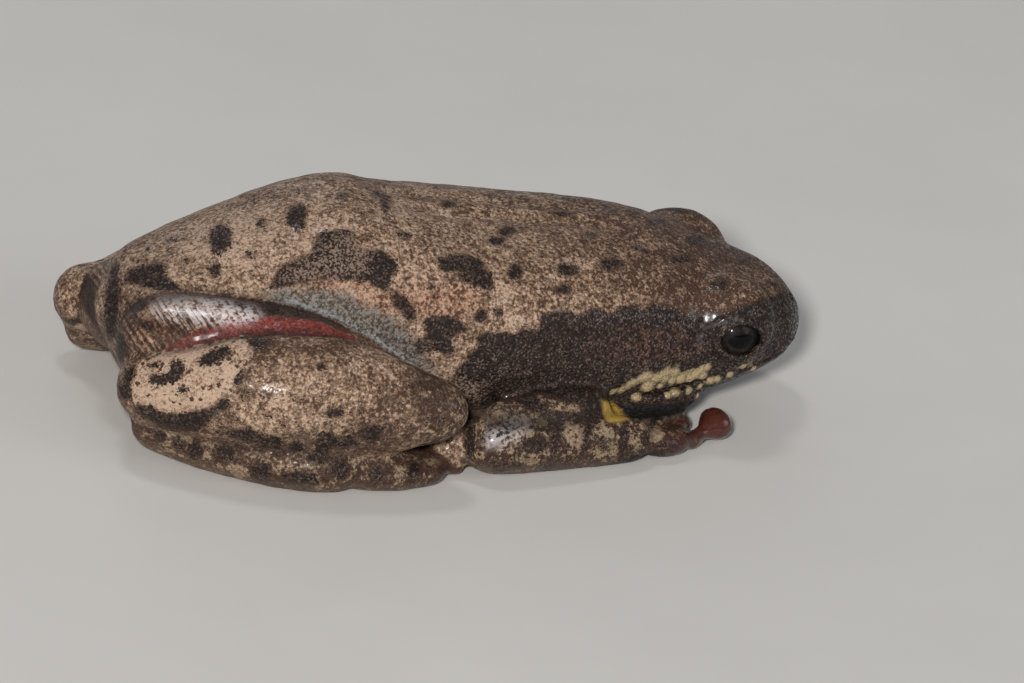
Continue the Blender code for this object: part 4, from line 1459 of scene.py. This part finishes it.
    # underside, with painted shade under the head, pads, warts and lids
    shade = maths("MAXIMUM", spread(patch, 0.35, 0.65, 0.0, 0.6), spread(field["throat"], 0.0, 0.2))
    throatShadeTone = layered("throat", (spread(fine, 0.4, 0.66), "slate"))
    redTone = layered("red", (spread(fine, 0.42, 0.62, 0.0, 0.5), "dark"))
    creamEdge = weighed(field["cream"], (fine, 0.5, 2.0), (clouds, 0.5, 1.8))
    wartTone = layered("wart", (spread(fine, 0.35, 0.6), "cream"))
    lidEdge = weighed(field["lidPale"], (fine, 0.5, 2.4))
    skinTone = layered(
        ground,
        (marked, inside),
        (paintedGlints, "tip"),
        (spread(flashEdge, 0.25, 0.95), flash),
        (times(spread(paintedShine, 0.34, 0.58, 0.0, 0.9), field["glossAndPaintedSheen"]), "glossAndPaintedSheen"),
        # umber in the wrinkles' grooves is painted shade
        (times(field["wrinkle"], spread(streak, 0.56, 0.42, 0.0, 0.8)), "umber"),
        (field["belly"], layered("belly", (shade, throatShadeTone))),
        (field["yellow"], "yellow"),
        (times(field["pad"], 0.95), redTone),
        (spread(creamEdge, 0.66, 1.05, 0.0, 0.75), "cream"),
        (field["wart"], wartTone),
        (spread(lidEdge, 0.3, 1.2, 0.0, 0.45), "lidPale"),
        # painted shade in the folds
        (times(field["fold"], 0.85), "fold"),
    )

    rough = weighed(
        0.6, (field["wet"], 0.0, -0.28), (field["pad"], 0.0, -0.08), (fine, 0.5, 0.3),
        (cell["Second"], 0.5, 0.25),
    )
    glint = times(spread(tiny["Second"], 0.7, 0.8, 0.05, 0.8), field["grain"])
    # relief: granules, tiny grain and stretched wrinkles
    relief = weighed(times(cell["Height"], field["grain"]), (tiny["Height"], 0.0, 0.35), (fine, 0.5, 0.6))
    stretched = maths("MAXIMUM", field["wrinkle"], times(field["glossAndPaintedSheen"], 0.4))
    relief = maths("ADD", relief, times(times(streak, stretched), 4.0))
    relief = times(relief, spread(field["pad"], 0.6, 1.0, 1.0, 0.25))
    bump = addNode("Bump", Strength=1.0, Distance=0.00006, Height=relief)
    fill(shader, {
        "Base Color": skinTone, "Roughness": rough, "Specular IOR Level": 0.2, "Coat Roughness": 0.2,
        "Coat Weight": weighed(glint, (field["wet"], 0.0, 0.95)), "Normal": bump.outputs["Normal"],
        "Subsurface Weight": 0.1, "Subsurface Radius": (1.0, 0.45, 0.3), "Subsurface Scale": 0.0004,
    })
    return material


def finishSkin(skin):
    setPoints(skin.data, pointsOf(skin.data) * mm)
    skin.data.shade_smooth()
    skin.data.materials.clear()
    skin.data.materials.append(skinMaterial(skinScales))
    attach(skin, "root")
    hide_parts(*(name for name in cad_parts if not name.startswith("eye")))


finishSkin(skin)
print("skin finished")

# The eyes: a bulging cornea over a dark iris with a level pupil.

eyeSettings = {
    "bulge": 0.24,
    "bulgeReach": 0.75,
    "irisReach": 1.25,
    "pupil": (0.56, 0.3),
    "iris": linear(24, 22, 23),
    "gold": linear(50, 42, 34),
    "pupilTone": linear(3, 3, 4),
    "rim": linear(10, 12, 16),
}


def eyeMaterial(settings):
    material, shader, place = newMaterial("wetEye")
    flecks = useGroup(mottle, Vector=place, Scale=5.0, Amount=0.45, Soft=0.08)["Mask"]
    tone = layered(
        settings["iris"],
        (times(flecks, 0.5), settings["gold"]),
        (spread(fieldOf("outer"), -0.1, 0.1), settings["rim"]),
        (spread(fieldOf("pupil"), -0.05, 0.05), settings["pupilTone"]),
    )
    fill(shader, {
        "Base Color": tone, "Roughness": 0.4, "Specular IOR Level": 0.06, "Coat Weight": 0.22,
        "Coat Roughness": 0.03,
    })
    return material


def eyeBulge(angle, settings):
    return settings["bulge"] * max(0.0, 1 - (angle / settings["bulgeReach"]) ** 2) ** 2


def addEye(side, material, settings):
    centre, radius = Vector(headSettings["eye"]), headSettings["eyeRadius"]
    bm = bmesh.new()
    bmesh.ops.create_uvsphere(bm, u_segments=56, v_segments=40, radius=radius)
    bmesh.ops.rotate(bm, matrix=Matrix.Rotation(math.pi / 2, 3, "X"), verts=bm.verts)
    aim = (openingCentre() - centre).normalized()
    outer, pupil = [], []
    for vert in bm.verts:
        turned = vert.co.normalized()
        angle = turned.angle(aim)
        vert.co += turned * eyeBulge(angle, settings)
        offset = (turned - aim) * radius
        size = math.hypot(offset.x / settings["pupil"][0], offset.z / settings["pupil"][1])
        pupil.append(-1.0 if turned.dot(aim) < 0 else (1 - size) * 0.35)
        outer.append(angle * radius - settings["irisReach"])
    bmesh.ops.translate(bm, vec=centre, verts=bm.verts)
    bmesh.ops.scale(bm, vec=(mm, mm, mm), verts=bm.verts)
    mesh = meshOf(f"eyeball_{side}", turnedOut(bm, side == "left"))
    for name, values in (("pupil", pupil), ("outer", outer)):
        mesh.attributes.new(name, "FLOAT", "POINT").data.foreach_set("value", values)
    mesh.shade_smooth()
    mesh.materials.append(material)
    eye = placed(f"eyeball_{side}", mesh)
    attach(eye, "root")
    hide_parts(f"eye_{side}")


wetEye = eyeMaterial(eyeSettings)
addEye("right", wetEye, eyeSettings)
addEye("left", wetEye, eyeSettings)
print("eyes set")

# Studio: pale floor and soft lamps.

floorSettings = {"half": 1.5, "colour": linear(222, 220, 216), "worn": linear(212, 210, 206)}


def addFloor(settings):
    material, shader, place = newMaterial("paleFloor")
    cloud = useGroup(mottle, Vector=place, Scale=0.02, Amount=0.5, Soft=0.3)["Mask"]
    fill(shader, {"Base Color": layered(settings["colour"], (cloud, settings["worn"])), "Roughness": 0.8})
    bm = bmesh.new()
    bmesh.ops.create_grid(bm, x_segments=1, y_segments=1, size=settings["half"])
    floor = placed("floor", meshOf("floor", bm))
    floor.data.materials.append(material)


lightSettings = {
    "key": {"from": (-0.225, -0.485, 0.272), "size": 0.06, "power": 3.1, "colour": (1.0, 0.97, 0.93)},
    "fill": {"from": (0.38, -0.28, 0.22), "size": 0.3, "power": 0.35, "colour": (0.93, 0.96, 1.0)},
    "back": {"from": (0.06, 0.58, 0.3), "size": 0.3, "power": 0.3, "colour": (1.0, 1.0, 1.0)},
    "top": {"from": (-0.05, 0.20, 0.55), "size": 0.11, "power": 0.36, "colour": (1.0, 0.98, 0.97)},
}
skySettings = {"Color": (0.9, 0.93, 1.0, 1), "Strength": 0.15}


def addLights(settings):
    for name, values in settings.items():
        data = bpy.data.lights.new(name, "AREA")
        data.shape = "DISK"
        data.size = values["size"]
        data.energy = values["power"]
        data.color = values["colour"]
        light = placed(name, data)
        light.location = values["from"]
        light.rotation_euler = (-Vector(values["from"])).to_track_quat("-Z", "Y").to_euler()


def addSky(settings):
    world = bpy.data.worlds.new("studio")
    world.use_nodes = True
    fill(world.node_tree.nodes["Background"].inputs, settings)
    bpy.context.scene.world = world


addFloor(floorSettings)
addLights(lightSettings)
addSky(skySettings)
bpy.context.scene.view_settings.view_transform = "Standard"
print("studio lit")
